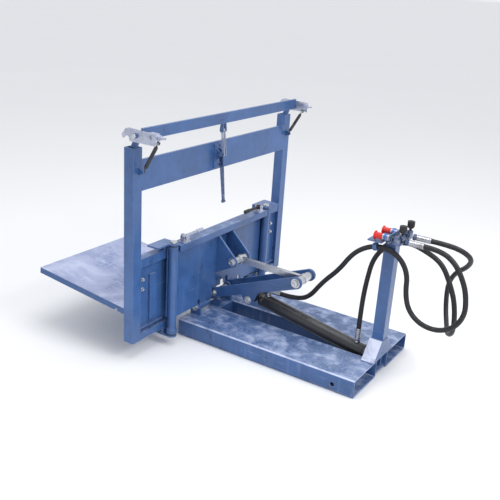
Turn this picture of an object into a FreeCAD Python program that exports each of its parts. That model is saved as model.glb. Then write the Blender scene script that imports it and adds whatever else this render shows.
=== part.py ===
import FreeCAD, Part
import math
import os

# Fork-mounted hydraulic forward tipper for boxes and crates. Millimetres.
# +X is forward, away from the truck, +Y is left, +Z is up. The origin lies midway between the
# fork pockets, on the plane of their undersides, below the rear face of the mast.

Vec = FreeCAD.Vector
AXIS = {"x": Vec(1, 0, 0), "y": Vec(0, 1, 0), "z": Vec(0, 0, 1)}

# ---------------------------------------------------------------- clearances
RUN = 0.05            # radial running fit of a pin in its bore
GAP = 0.3             # side gap between pieces that turn past each other
WASHER = 4.0          # washer under the head of a cross pin
SLIDE = 2.0           # gap between the carriage and the mast frame in front of it

# ---------------------------------------------------------------- fork pockets
POCKET_WIDTH = 220.0
POCKET_HEIGHT = 80.0
POCKET_WALL = 5.0
POCKET_CORNER = 8.0
POCKET_GAP = 110.0    # clear space between the two pockets
POCKET_FRONT = 10.0   # x of the front end
POCKET_LENGTH = 890.0
LOCK_HOLE_R = 10.0    # cross hole for the fork locking pin
LOCK_HOLE_FROM_REAR = 98.0
LOCK_HOLE_Z = 31.0

FRONT_TIE = 80.0      # box between the pockets' front ends
FRONT_TIE_WALL = 6.0
REAR_TIE = (5.0, 80.0)      # plate between the pockets, from their rear ends
TIE_Z = (8.0, 16.0)

POCKET_INNER_Y = POCKET_GAP / 2
POCKET_OUTER_Y = POCKET_INNER_Y + POCKET_WIDTH
POCKET_REAR = POCKET_FRONT - POCKET_LENGTH

# ---------------------------------------------------------------- pivots, as (x, z)
HINGE = (-22.0, POCKET_HEIGHT + 36.0)       # carriage on the fork frame
LEVER_PIVOT = (-34.0, POCKET_HEIGHT + 73.0)
LINK_REAR = (-467.0, POCKET_HEIGHT + 242.0)   # link on the lever
LINK_FRONT = (-125.0, POCKET_HEIGHT + 248.0)  # link on the carriage
ROD_PIVOT = (-228.0, POCKET_HEIGHT + 91.0)    # piston rod on the lever
CYLINDER_BASE = (POCKET_REAR + 40.0, POCKET_HEIGHT - 20.0)

PIN_R = 12.5
SHAFT_R = 12.0
KNUCKLE_R = 18.0
KNUCKLE_Y = (95.0, 175.0)
INNER_LUG_Y = (40.0, 52.0)
OUTER_LUG_Y = (KNUCKLE_Y[1] + 5.0, KNUCKLE_Y[1] + 17.0)
LUG_R = 19.0
LUG_FOOT = 28.0       # how far a lug's foot reaches from its pivot
BASE_LUG_R = 20.0
BASE_LUG_FOOT = 26.0

# ---------------------------------------------------------------- lever and link
LEVER_Y = (56.0, 68.0)
LEVER_FRONT_R = 23.0
LEVER_REAR_R = 28.0
LEVER_LUG_R = 24.0
LINK_HALF = 14.0
LINK_DEPTH = 28.0
LINK_EYE_R = 22.0
GUSSET_Y = (50.0, 60.0)
GUSSET_EYE_R = 24.0
GUSSET_ROOT_Z = 240.0

# ---------------------------------------------------------------- hydraulic cylinder
BARREL_R = 32.5
BARREL_BORE_R = 25.0
ROD_R = 15.0
EYE_R = 24.0
EYE_HALF = 20.0
BASE_LUG_Y = (EYE_HALF + 2.0, EYE_HALF + 14.0)
CAP_START = 34.0      # distances along the cylinder from its base pin
CAP_END = 50.0
GLAND_LENGTH = 22.0
GLAND_TO_ROD_PIN = 32.0
PISTON_START = 58.0
PISTON_LENGTH = 25.0
GLAND_PORT_X = ROD_PIVOT[0] - 70.0
FERRULE_R = 12.5

# ---------------------------------------------------------------- carriage
CARRIAGE_PLATE = 8.0
CARRIAGE_BOTTOM = POCKET_HEIGHT + 53.0
CARRIAGE_TOP = 470.0
CARRIAGE_HALF = 385.0
NOTCH_HALF = 84.0     # opening in the plate round the lever's front end
NOTCH_TOP = LEVER_PIVOT[1] + 37.0
LUG_SLOT = 3.0        # side clearance of the slots that let the plate turn past the outer lugs
LUG_SLOT_TOP = HINGE[1] + 40.0
COVER_X = -36.0
COVER_PLATE = 6.0
RAIL_REACH = 50.0     # how far the top flange stands back from the mast
TUBE_R = 20.0
TUBE_Y = CARRIAGE_HALF - 12.0
TUBE_BOTTOM = POCKET_HEIGHT - 22.0
HINGE_PIN_R = 10.0
EAR_PLATE = 8.0
EAR_BOTTOM = POCKET_HEIGHT - 36.0

# ---------------------------------------------------------------- mast
MAST_WIDTH = 1200.0
UPRIGHT = 50.0
UPRIGHT_WALL = 4.0
UPRIGHT_TOP = 920.0
MAST_BOTTOM = POCKET_HEIGHT
CROSSBAR_PLATE = 10.0
CROSSBAR_Z = (743.0, 871.0)
RAIL = 40.0
TOP_RAIL_Z = (410.0, 450.0)
SILL_HEIGHT = 30.0
SILL_INNER_Y = 300.0
PANEL = 4.0
PANEL_X = 22.0
PANEL_MID_BOTTOM = 200.0
DECK_LENGTH = 500.0
DECK_INNER_Y = 20.0
DECK_PLATE = 6.0
DECK_SKIRT = 28.0
DECK_TILT = 6.0       # degrees, free end up
DECK_ROOT_Z = 234.0

MAST_HALF = MAST_WIDTH / 2
UPRIGHT_INNER_Y = MAST_HALF - UPRIGHT

# ---------------------------------------------------------------- hook bar and its clamp
HOOK_PIVOT = (-3.0, UPRIGHT_TOP + 50.0)
HOOK_BAR_X = (-34.0, -24.0)
HOOK_BAR_Z = (UPRIGHT_TOP + 35.0, UPRIGHT_TOP + 82.0)
HOOK_PLATE_Y = (MAST_HALF - 14.0, MAST_HALF - 8.0)
HOOK_EAR_Y = (MAST_HALF - 28.0, MAST_HALF - 20.0)
HOOK_EAR_FOOT_X = (4.0, 34.0)
# Outline of the end plate with its claw, as (x, z) from the pivot.
HOOK_OUTLINE = [(-95, -26), (-95, 20), (37, 26), (53, 21), (73, -5), (65, -18), (47, -3),
                (35, -10), (31, -26)]
HOOK_EAR_R = 12.0
HOOK_BOLT_R = 6.0
SPRING_Y = MAST_HALF - 40.0
SPRING_TOP = (-88.0, UPRIGHT_TOP + 30.0)
SPRING_FOOT = (-16.0, 826.0)
SPRING_R = 8.0
SPRING_WIRE_R = 2.0
SPRING_PIN_R = 4.0
CLAMP_Y = 45.0
CLAMP_PIVOT = (-25.0, CROSSBAR_Z[0] + 72.0)
CLAMP_TOP = (-29.0, UPRIGHT_TOP + 5.0)    # link eye in the hook bar's clevis
CLAMP_ARM = 15.0
CLAMP_ARM_ANGLE = 80.0        # of the short arm, from upright towards the rear
CLAMP_HANDLE_TIP = (-48.0, CLAMP_PIVOT[1] - 212.0)
CLAMP_PIN_R = 5.0
CLAMP_LINK_PIN_R = 3.5
CLAMP_EAR_Y = (10.0, 14.0)    # each side of the clamp's middle
CLAMP_STRAP_Y = (4.0, 8.0)

# ---------------------------------------------------------------- latches on the top flange
LATCH_X = -30.0
LATCH_Y = 300.0
LATCH_Z = CARRIAGE_TOP + 24.0
LATCH_REACH = 130.0
LATCH_PIN_R = 4.0
LATCH_EAR_X = (12.0, 16.0)    # each side of the lever's middle

# ---------------------------------------------------------------- rear post and hydraulics
POST = 50.0
POST_WALL = 4.0
POST_X = POCKET_REAR + 24.0
POST_TOP = 580.0
ARCH_X = (POST_X - POST / 2, POST_X + POST / 2 + 8.0)
ARCH_TOP = POCKET_HEIGHT + 80.0
ARCH_PLATE = 6.0
ARCH_FOOT_Y = 98.0
LINE_Y = 42.0
LINE_Z = POST_TOP + 40.0
LINE_FRONT = POST_X + 28.0
BRACKET_PLATE = 6.0
BRACKET_X = (POST_X - 12.0, POST_X - 12.0 + BRACKET_PLATE)
COUPLER_NOSE_R = 10.5
COUPLER_BODY_R = 15.0
COUPLER_NECK_R = 13.0
COUPLER_NECK = 2.0      # how far the neck passes the bracket on each side
SLEEVE_R = 17.0
SLEEVE_LENGTH = 14.0
CAP_WALL = 2.5
CAP_FLANGE_R = 18.0
VALVE_REAR = POST_X - 69.0
VALVE_HALF = 15.0
VALVE_RISE = 16.0       # from the line to the block's top and bottom
FERRULE_FRONT = VALVE_REAR - 15.0
FERRULE_REAR = FERRULE_FRONT - 61.0
KNOB_X = VALVE_REAR + 17.0
KNOB_R = 15.0
KNOB_STEM_R = 5.0
KNOB_Z = (LINE_Z + 34.0, LINE_Z + 64.0)
HOSE_R = 10.5
CLIP_LENGTH = 16.0
CLIP_RUNS = (6, 5)      # run of the gland hose and of the base hose that each clip holds
CLIP_WALL = 6.0
SHELF_TOP = POST_TOP + 20.0
SHELF_PLATE = 6.0
SHELF_REACH = 62.0
SHELF_HALF = 56.0

# Hose routes, from the cylinder's fitting to the coupler line. Each lists the corners of straight
# runs that are joined by tangent arcs.
GLAND_HOSE = [
    (-361, 0, 217), (-431, 0, 217), (-508, 8, 246), (-568, 13, 338), (-643, 20, 419),
    (-701, 34, 511), (-765, 38, 561), (-838, 39, 578), (-908, 37, 551), (-951, 41, 490),
    (-954, 43, 408), (-976, 43, 339), (-1032, 42, 293), (-1106, 41, 286), (-1170, 42, 322),
    (-1202, 42, 389), (-1192, 42, 468), (-1172, 43, 522), (-1134, 44, 583), (-1071, 42, 620),
    (-1001, 42, 620),
]
BASE_HOSE = [
    (-757, 0, 172), (-757, 0, 240), (-756, -10, 330), (-759, -25, 408), (-766, -34, 472),
    (-791, -40, 526), (-843, -39, 574), (-914, -40, 593), (-986, -38, 575), (-1056, -41, 541),
    (-1098, -43, 471), (-1132, -39, 395), (-1147, -35, 308), (-1135, -72, 237), (-1107, -134, 202),
    (-1074, -201, 208), (-1046, -252, 254), (-1035, -274, 324), (-1048, -262, 396),
    (-1088, -238, 446), (-1158, -185, 497), (-1169, -124, 551), (-1136, -72, 595),
    (-1073, -42, 620), (-1001, -42, 620),
]


# ================================================================ helpers
def box(x, y, z):
    """A block between the given pairs of limits."""
    low = [min(pair) for pair in (x, y, z)]
    size = [abs(pair[1] - pair[0]) for pair in (x, y, z)]
    return Part.makeBox(*size, Vec(*low))


def rod(axis, centre, start, end, radius):
    """A cylinder along one axis; centre gives its place on the two other axes, in XYZ order."""
    spot = list(centre)
    spot.insert("xyz".index(axis), min(start, end))
    return Part.makeCylinder(radius, abs(end - start), Vec(*spot), AXIS[axis])


def ring(axis, centre, start, end, radius, bore):
    """A tube along one axis."""
    return rod(axis, centre, start, end, radius).cut(rod(axis, centre, start, end, bore))


def hexagon(axis, centre, start, end, across):
    """A hexagonal bar along one axis."""
    corner = across / math.sqrt(3)
    points = []
    for k in range(7):
        turn = math.radians(60 * k + 30)
        flat = [centre[0] + corner * math.cos(turn), centre[1] + corner * math.sin(turn)]
        flat.insert("xyz".index(axis), min(start, end))
        points.append(Vec(*flat))
    return Part.Face(Part.makePolygon(points)).extrude(AXIS[axis] * abs(end - start))


def hull(circles, y):
    """A plate between two y limits, wrapped round circles (x, z, radius) in turning order."""
    tangents = []
    for k, (x1, z1, r1) in enumerate(circles):
        x2, z2, r2 = circles[(k + 1) % len(circles)]
        heading = math.atan2(z2 - z1, x2 - x1)
        lean = math.acos((r1 - r2) / math.hypot(x2 - x1, z2 - z1))
        side = heading - lean
        normal = (math.cos(side), math.sin(side))
        tangents.append(((x1 + r1 * normal[0], z1 + r1 * normal[1]),
                         (x2 + r2 * normal[0], z2 + r2 * normal[1]), side))
    edges = []
    for k, (start, end, side) in enumerate(tangents):
        following = tangents[(k + 1) % len(tangents)]
        x2, z2, r2 = circles[(k + 1) % len(circles)]
        edges.append(Part.makeLine(Vec(start[0], y[0], start[1]), Vec(end[0], y[0], end[1])))
        if r2 > 0:
            sweep = (following[2] - side) % (2 * math.pi)
            middle = side + sweep / 2
            through = Vec(x2 + r2 * math.cos(middle), y[0], z2 + r2 * math.sin(middle))
            first = Vec(end[0], y[0], end[1])
            last = Vec(following[0][0], y[0], following[0][1])
            edges.append(Part.Arc(first, through, last).toShape())
    face = Part.Face(Part.Wire(edges))
    return face.extrude(Vec(0, y[1] - y[0], 0))


def outline(points, y):
    """A plate between two y limits with straight edges through (x, z) points."""
    loop = [Vec(x, y[0], z) for x, z in points]
    face = Part.Face(Part.makePolygon(loop + loop[:1]))
    return face.extrude(Vec(0, y[1] - y[0], 0))


def square_tube(x, y, z, wall, along):
    """A hollow bar; along names the axis it is open on."""
    limits = {"x": x, "y": y, "z": z}
    inner = {}
    for name, pair in limits.items():
        inset = 0 if name == along else wall
        inner[name] = (pair[0] + inset, pair[1] - inset)
    return box(x, y, z).cut(box(inner["x"], inner["y"], inner["z"]))


def round_long_edges(solid, along, radius):
    """Rounds the edges that run along one axis."""
    wanted = [edge for edge in solid.Edges
              if abs(abs(edge.tangentAt(edge.FirstParameter).dot(AXIS[along])) - 1) < 1e-6]
    return solid.makeFillet(radius, wanted)


def cross_bore(spot, radius):
    """A cutter across the whole width, for bores along Y."""
    return rod("y", spot, -MAST_WIDTH, MAST_WIDTH, radius)


def fuse(first, *others):
    """One solid from several that touch or overlap."""
    return first.multiFuse(list(others)).removeSplitter()


def mirrored(shape):
    """The same piece on the right side."""
    return shape.mirror(Vec(0, 0, 0), AXIS["y"])


def pair(shape):
    """A piece with its twin on the right side."""
    return [shape, mirrored(shape)]


def save(node, *solids):
    """Writes one node's solids to its STEP file."""
    shape = solids[0] if len(solids) == 1 else Part.makeCompound(list(solids))
    shape.exportStep(f"parts/{node}.step")


def lateral_pin(spot, half, radius, washer_r, seat, head_r, head):
    """A cross pin with a washer and a round head at each end; seat is the outer face it clamps."""
    body = rod("y", spot, -half, half, radius)
    for side in (1, -1):
        washer = rod("y", spot, side * (seat + GAP), side * (seat + WASHER), washer_r)
        cap = rod("y", spot, side * (seat + WASHER), side * (seat + WASHER + head), head_r)
        body = fuse(body, washer, cap)
    return body


# ================================================================ fork frame
def fork_pocket():
    outer = box((POCKET_REAR, POCKET_FRONT), (POCKET_INNER_Y, POCKET_OUTER_Y), (0, POCKET_HEIGHT))
    outer = round_long_edges(outer, "x", POCKET_CORNER)
    inner = box((POCKET_REAR, POCKET_FRONT),
                (POCKET_INNER_Y + POCKET_WALL, POCKET_OUTER_Y - POCKET_WALL),
                (POCKET_WALL, POCKET_HEIGHT - POCKET_WALL))
    inner = round_long_edges(inner, "x", POCKET_CORNER - POCKET_WALL)
    lock = rod("y", (POCKET_REAR + LOCK_HOLE_FROM_REAR, LOCK_HOLE_Z),
               POCKET_OUTER_Y - 2 * POCKET_WALL, POCKET_OUTER_Y + 1, LOCK_HOLE_R)
    return outer.cut(inner).cut(lock)


def cross_members():
    """A box at the front and a plate at the rear that tie the two pockets together."""
    across = (-POCKET_INNER_Y, POCKET_INNER_Y)
    front = square_tube((POCKET_FRONT - FRONT_TIE, POCKET_FRONT), across,
                        (TIE_Z[0], POCKET_HEIGHT), FRONT_TIE_WALL, "y")
    rear = box((POCKET_REAR + REAR_TIE[0], POCKET_REAR + REAR_TIE[1]), across, TIE_Z)
    return [front, rear]


def pivot_lugs():
    """Inner lugs carry the lever pivot and the hinge shaft, outer lugs the shaft's ends."""
    foot = POCKET_HEIGHT
    inner = fuse(hull([(*HINGE, LUG_R), (*LEVER_PIVOT, LUG_R + 2)], INNER_LUG_Y),
                 box((LEVER_PIVOT[0] - LUG_FOOT, HINGE[0] + LUG_FOOT - 2), INNER_LUG_Y,
                     (foot, HINGE[1])))
    inner = inner.cut(cross_bore(LEVER_PIVOT, PIN_R + RUN))
    outer = fuse(rod("y", HINGE, *OUTER_LUG_Y, LUG_R),
                 box((HINGE[0] - LUG_FOOT, HINGE[0] + LUG_FOOT), OUTER_LUG_Y, (foot, HINGE[1])))
    lugs = []
    for lug in (inner, outer):
        lugs += pair(lug.cut(cross_bore(HINGE, SHAFT_R + RUN)))
    return lugs


def cylinder_lugs():
    """Lugs on the rear tie plate, either side of the cylinder's base eye."""
    foot = (CYLINDER_BASE[0] - BASE_LUG_FOOT, CYLINDER_BASE[0] + BASE_LUG_FOOT)
    lug = fuse(rod("y", CYLINDER_BASE, *BASE_LUG_Y, BASE_LUG_R),
               box(foot, BASE_LUG_Y, (TIE_Z[1], CYLINDER_BASE[1])))
    return pair(lug.cut(cross_bore(CYLINDER_BASE, PIN_R + RUN)))


def rear_arch():
    """A bent plate that bridges the pockets, with a closing plate behind it."""
    crown_y = POST / 2 + 5
    foot_inner = ARCH_FOOT_Y - 8
    profile = [(-ARCH_FOOT_Y, POCKET_HEIGHT), (-crown_y, ARCH_TOP), (crown_y, ARCH_TOP),
               (ARCH_FOOT_Y, POCKET_HEIGHT), (foot_inner, POCKET_HEIGHT),
               (crown_y - 5, ARCH_TOP - ARCH_PLATE), (5 - crown_y, ARCH_TOP - ARCH_PLATE),
               (-foot_inner, POCKET_HEIGHT)]
    loop = [Vec(ARCH_X[0], y, z) for y, z in profile]
    bridge = Part.Face(Part.makePolygon(loop + loop[:1])).extrude(Vec(ARCH_X[1] - ARCH_X[0], 0, 0))
    loop = [Vec(ARCH_X[0], y, z) for y, z in profile[4:]]
    closing = Part.Face(Part.makePolygon(loop + loop[:1])).extrude(Vec(ARCH_PLATE, 0, 0))
    return fuse(bridge, closing)


def post():
    half = POST / 2
    return square_tube((POST_X - half, POST_X + half), (-half, half), (ARCH_TOP, POST_TOP),
                       POST_WALL, "z")


# ================================================================ couplers and hoses on the post
def coupler_bracket():
    """An angle on the post's top: a flat foot and a T-shaped plate that holds both couplers."""
    half = POST / 2
    reach = LINE_Y + 24
    foot_top = POST_TOP + BRACKET_PLATE
    foot = box((POST_X - half, POST_X + half), (-half, half), (POST_TOP, foot_top))
    stem = box(BRACKET_X, (-half, half), (foot_top, LINE_Z - 14))
    plate = box(BRACKET_X, (-reach, reach), (LINE_Z - 14, LINE_Z + 20))
    solid = fuse(foot, stem, plate)
    for side in (1, -1):
        solid = solid.cut(rod("x", (side * LINE_Y, LINE_Z), *BRACKET_X, COUPLER_NECK_R + RUN))
    return solid


def coupler(y):
    """Quick coupler: nose, sliding sleeve, neck through the bracket and its nut."""
    at = (y, LINE_Z)
    neck = (BRACKET_X[0] - COUPLER_NECK, BRACKET_X[1] + COUPLER_NECK)
    sleeve = LINE_FRONT - 8
    pieces = [rod("x", at, LINE_FRONT, LINE_FRONT + 26, COUPLER_NOSE_R),
              rod("x", at, neck[1], LINE_FRONT, COUPLER_BODY_R),
              rod("x", at, sleeve - SLEEVE_LENGTH, sleeve, SLEEVE_R),
              rod("x", at, *neck, COUPLER_NECK_R),
              hexagon("x", at, BRACKET_X[1], BRACKET_X[1] + 5, 2 * COUPLER_BODY_R)]
    return fuse(*pieces)


def flow_valve(y):
    """In-line flow valve with its rear adapter and the hose's crimped ferrule."""
    at = (y, LINE_Z)
    top = LINE_Z + VALVE_RISE
    block = box((VALVE_REAR, BRACKET_X[0] - COUPLER_NECK), (y - VALVE_HALF, y + VALVE_HALF),
                (LINE_Z - VALVE_RISE, top))
    collar = rod("z", (KNOB_X, y), top, top + 8, 11)
    stem_bore = rod("z", (KNOB_X, y), LINE_Z + 8, KNOB_Z[0], KNOB_STEM_R + RUN)
    body = fuse(block, collar).cut(stem_bore)
    adapter = fuse(hexagon("x", at, VALVE_REAR, FERRULE_FRONT + 4, 24),
                   rod("x", at, FERRULE_FRONT, FERRULE_FRONT + 4, 10))
    ferrule = rod("x", at, FERRULE_REAR, FERRULE_FRONT, FERRULE_R)
    return [body, adapter, ferrule]


def valve_knob(y):
    """A round knob, narrower at its foot, on the valve's stem."""
    stem = rod("z", (KNOB_X, y), LINE_Z + 9, KNOB_Z[0], KNOB_STEM_R)
    head = Part.makeCone(KNOB_R - 3, KNOB_R, 10, Vec(KNOB_X, y, KNOB_Z[0]))
    top = rod("z", (KNOB_X, y), KNOB_Z[0] + 10, KNOB_Z[1], KNOB_R)
    return fuse(stem, head, top)


def dust_cap(y):
    """A soft cap with a wide front flange, pushed over the coupler's nose."""
    at = (y, LINE_Z)
    shell = fuse(rod("x", at, LINE_FRONT + GAP, LINE_FRONT + 32, COUPLER_NOSE_R + CAP_WALL),
                 rod("x", at, LINE_FRONT + 31, LINE_FRONT + 36, CAP_FLANGE_R))
    return shell.cut(rod("x", at, LINE_FRONT - 1, LINE_FRONT + 28, COUPLER_NOSE_R + RUN))


def hose_shelf():
    """A shelf ahead of the post that the hose clips hang from."""
    front = POST_X + POST / 2
    return box((front, front + SHELF_REACH), (-SHELF_HALF, SHELF_HALF),
               (SHELF_TOP - SHELF_PLATE, SHELF_TOP))


def hose_clip(points, run, tube):
    """A round clip about the middle of one run of a hose, with a web up to the shelf."""
    start = Vec(*points[run])
    line = Vec(*points[run + 1]) - start
    middle = start + line / 2
    line.normalize()
    start = middle - line * (CLIP_LENGTH / 2)
    collar = Part.makeCylinder(HOSE_R + CLIP_WALL, CLIP_LENGTH, start, line)
    web = box((middle.x - 4, middle.x + 4), (middle.y - 5, middle.y + 5),
              (middle.z, SHELF_TOP - SHELF_PLATE))
    return fuse(collar, web).cut(tube)


def hose_path(points):
    """Straight runs joined by tangent arcs; returns the wire and the radius of each arc."""
    corners = [Vec(*p) for p in points]
    edges = []
    radii = []
    start = corners[0]
    for before, corner, after in zip(corners, corners[1:], corners[2:]):
        back = before - corner
        ahead = after - corner
        reach = 0.45 * min(back.Length, ahead.Length)
        back.normalize()
        ahead.normalize()
        half_turn = (math.pi - back.getAngle(ahead)) / 2
        radius = reach / math.tan(half_turn)
        radii.append(radius)
        inward = back + ahead
        inward.normalize()
        middle = corner + inward * (radius / math.cos(half_turn) - radius)
        first = corner + back * reach
        last = corner + ahead * reach
        edges.append(Part.LineSegment(start, first).toShape())
        edges.append(Part.Arc(first, middle, last).toShape())
        start = last
    edges.append(Part.LineSegment(start, corners[-1]).toShape())
    return Part.Wire(edges), radii


def hose(name, points):
    """A hose of round section along its route."""
    wire, radii = hose_path(points)
    heading = Vec(*points[1]) - Vec(*points[0])
    ring_edge = Part.Wire(Part.makeCircle(HOSE_R, Vec(*points[0]), heading))
    tube = wire.makePipeShell([ring_edge], True, False)
    print(f"{name}: length {wire.Length:.0f} mm, smallest radius {min(radii):.0f} mm")
    return tube


# ================================================================ hydraulic cylinder
def along_cylinder(shape):
    """Moves a shape drawn along +X from the origin onto the cylinder's line at rest."""
    rise = ROD_PIVOT[1] - CYLINDER_BASE[1]
    run = ROD_PIVOT[0] - CYLINDER_BASE[0]
    shape.rotate(Vec(0, 0, 0), AXIS["y"], -math.degrees(math.atan2(rise, run)))
    shape.translate(Vec(CYLINDER_BASE[0], 0, CYLINDER_BASE[1]))
    return shape


def cylinder_length():
    return math.hypot(ROD_PIVOT[0] - CYLINDER_BASE[0], ROD_PIVOT[1] - CYLINDER_BASE[1])


def barrel():
    """The tube, the base cap with its eye, and the gland."""
    end = cylinder_length() - GLAND_TO_ROD_PIN
    tube = ring("x", (0, 0), CAP_END, end - GLAND_LENGTH, BARREL_R, BARREL_BORE_R)
    cap = rod("x", (0, 0), CAP_START, CAP_END, BARREL_R)
    eye = fuse(rod("y", (0, 0), -EYE_HALF, EYE_HALF, EYE_R),
               box((0, CAP_START), (-EYE_HALF, EYE_HALF), (-18, 18)), cap)
    eye = eye.cut(cross_bore((0, 0), PIN_R + RUN))
    gland = ring("x", (0, 0), end - GLAND_LENGTH, end, BARREL_R, ROD_R + RUN)
    return [along_cylinder(piece) for piece in (tube, eye, gland)]


def piston_rod():
    """The rod, the piston inside the barrel, and the rod's eye with its cross pin."""
    length = cylinder_length()
    shaft = rod("x", (0, 0), PISTON_START + PISTON_LENGTH, length - EYE_R, ROD_R)
    piston = rod("x", (0, 0), PISTON_START, PISTON_START + PISTON_LENGTH, BARREL_BORE_R - RUN)
    eye = rod("y", (0, 0), -EYE_HALF, EYE_HALF, EYE_R)
    eye.translate(Vec(length, 0, 0))
    cross = rod("y", (0, 0), GAP - LEVER_Y[0], LEVER_Y[0] - GAP, PIN_R)
    cross.translate(Vec(length, 0, 0))
    shaft = shaft.cut(eye)
    return along_cylinder(shaft), along_cylinder(piston), along_cylinder(fuse(eye, cross))


def barrel_top(x):
    """Height of the barrel's upper surface above a point on the x axis."""
    slope = (ROD_PIVOT[1] - CYLINDER_BASE[1]) / (ROD_PIVOT[0] - CYLINDER_BASE[0])
    return CYLINDER_BASE[1] + slope * (x - CYLINDER_BASE[0]) + BARREL_R * math.hypot(1, slope)


def clear_of_barrel(shape):
    core = rod("x", (0, 0), 0, cylinder_length(), BARREL_R)
    return shape.cut(along_cylinder(core))


def base_port_fitting():
    """Welded boss, hexagon and upright ferrule of the hose at the cylinder's base."""
    port_x, _, hose_start = BASE_HOSE[0]
    top = barrel_top(port_x)
    at = (port_x, 0)
    boss = clear_of_barrel(rod("z", at, top - 20, top + 6, 13))
    return [boss, hexagon("z", at, top + 6, top + 20, 22),
            rod("z", at, top + 20, hose_start, FERRULE_R)]


def gland_port_fitting():
    """Welded boss, upright adapter and an elbow that points the hose to the rear."""
    top = barrel_top(GLAND_PORT_X)
    at = (GLAND_PORT_X, 0)
    start_x, _, line_z = GLAND_HOSE[0]
    boss = clear_of_barrel(rod("z", at, top - 16, top + 4, 12))
    adapter = hexagon("z", at, top + 4, line_z - 12, 22)
    elbow = fuse(rod("z", at, line_z - 12, line_z + 12, 11),
                 rod("x", (0, line_z), GLAND_PORT_X - 16, GLAND_PORT_X, 9))
    ferrule = rod("x", (0, line_z), start_x, GLAND_PORT_X - 16, FERRULE_R)
    return [boss, adapter, elbow, ferrule]


# ================================================================ lever and link
def on_lever(share):
    """A point on the line between the lever's two end pivots."""
    return tuple(a + share * (b - a) for a, b in zip(LEVER_PIVOT, LINK_REAR))


def lever_plate():
    arm = hull([(*LINK_REAR, LEVER_REAR_R), (*LEVER_PIVOT, LEVER_FRONT_R)], LEVER_Y)
    webs = [hull([(*on_lever(share), 15), (*ROD_PIVOT, LEVER_LUG_R)], LEVER_Y)
            for share in (0.36, 0.56)]
    plate = fuse(arm, *webs)
    for spot in (LEVER_PIVOT, LINK_REAR, ROD_PIVOT):
        plate = plate.cut(cross_bore(spot, PIN_R + RUN))
    return plate


def link_pin():
    """The pin that joins link and lever, with its spacer tubes."""
    pin = lateral_pin(LINK_REAR, LEVER_Y[1] + 10, PIN_R, PIN_R + 9.5, LEVER_Y[1] - GAP,
                      PIN_R + 2.5, 12)
    spacer = ring("y", LINK_REAR, LINK_HALF + GAP, LEVER_Y[0], PIN_R + 6.5, PIN_R + RUN)
    return [pin] + pair(spacer)


def rod_pin_stubs():
    """Ends of the rod's cross pin, fixed in the lever plates."""
    washer = (LEVER_Y[1], LEVER_Y[1] + WASHER)
    stub = fuse(rod("y", ROD_PIVOT, LEVER_Y[0], washer[1], PIN_R),
                rod("y", ROD_PIVOT, *washer, PIN_R + 6.5),
                rod("y", ROD_PIVOT, washer[1], washer[1] + 8, PIN_R + 1.5))
    return pair(stub)


def link_bar():
    """A flat-sided bar with a round eye at each end."""
    width = (-LINK_HALF, LINK_HALF)
    bar = hull([(*LINK_REAR, LINK_DEPTH / 2), (*LINK_FRONT, LINK_DEPTH / 2)], (-10, 10))
    eyes = [rod("y", spot, *width, LINK_EYE_R) for spot in (LINK_REAR, LINK_FRONT)]
    bar = fuse(bar, *eyes)
    for spot in (LINK_REAR, LINK_FRONT):
        bar = bar.cut(cross_bore(spot, PIN_R + RUN))
    return bar


def link_bush():
    """Cross pin in the link's front eye, with a collar on each side that fills the clevis."""
    end = GUSSET_Y[0] - GAP
    core = rod("y", LINK_FRONT, -end, end, PIN_R)
    collar = rod("y", LINK_FRONT, LINK_HALF, end, PIN_R + 4.5)
    return fuse(core, collar, mirrored(collar))


# ================================================================ carriage
def carriage_plate():
    """Back plate between the hinge tubes, open round the lever's end, and its raised left cover."""
    x = (-CARRIAGE_PLATE, 0)
    back = box(x, (-CARRIAGE_HALF, CARRIAGE_HALF), (CARRIAGE_BOTTOM, CARRIAGE_TOP))
    back = back.cut(box(x, (-NOTCH_HALF, NOTCH_HALF), (CARRIAGE_BOTTOM, NOTCH_TOP)))
    tube_inner = TUBE_Y - TUBE_R
    cover = box((COVER_X, COVER_X + COVER_PLATE), (GUSSET_Y[1], tube_inner),
                (CARRIAGE_BOTTOM, CARRIAGE_TOP - EAR_PLATE))
    sill = box((COVER_X + COVER_PLATE, -CARRIAGE_PLATE), (NOTCH_HALF + 6, tube_inner),
               (CARRIAGE_BOTTOM + 2, CARRIAGE_BOTTOM + 8))
    cover = fuse(cover, sill)
    cover = cover.cut(box((COVER_X - 1, 0), (0, NOTCH_HALF), (0, NOTCH_TOP)))
    for slot in pair(box((COVER_X - 1, 1), (OUTER_LUG_Y[0] - LUG_SLOT, OUTER_LUG_Y[1] + LUG_SLOT),
                         (0, LUG_SLOT_TOP))):
        back = back.cut(slot)
        cover = cover.cut(slot)
    return [back, cover]


def carriage_rail():
    """Top flange along the back plate, turned down at its rear edge."""
    inner = TUBE_Y - TUBE_R - 1
    flange = box((-RAIL_REACH, -CARRIAGE_PLATE), (-inner, inner),
                 (CARRIAGE_TOP - EAR_PLATE, CARRIAGE_TOP))
    lip = box((-RAIL_REACH, -RAIL_REACH + 6), (-inner, inner),
              (CARRIAGE_TOP - 30, CARRIAGE_TOP - EAR_PLATE))
    return fuse(flange, lip)


def hinge_tubes():
    """Upright tubes at the carriage's sides, with a collar at the foot."""
    x = -CARRIAGE_PLATE - TUBE_R
    tube = fuse(rod("z", (x, TUBE_Y), TUBE_BOTTOM, CARRIAGE_TOP - 2, TUBE_R),
                rod("z", (x, TUBE_Y), TUBE_BOTTOM, TUBE_BOTTOM + 22, TUBE_R + 3))
    return pair(tube.cut(rod("z", (x, TUBE_Y), 0, UPRIGHT_TOP, HINGE_PIN_R + RUN)))


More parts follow.
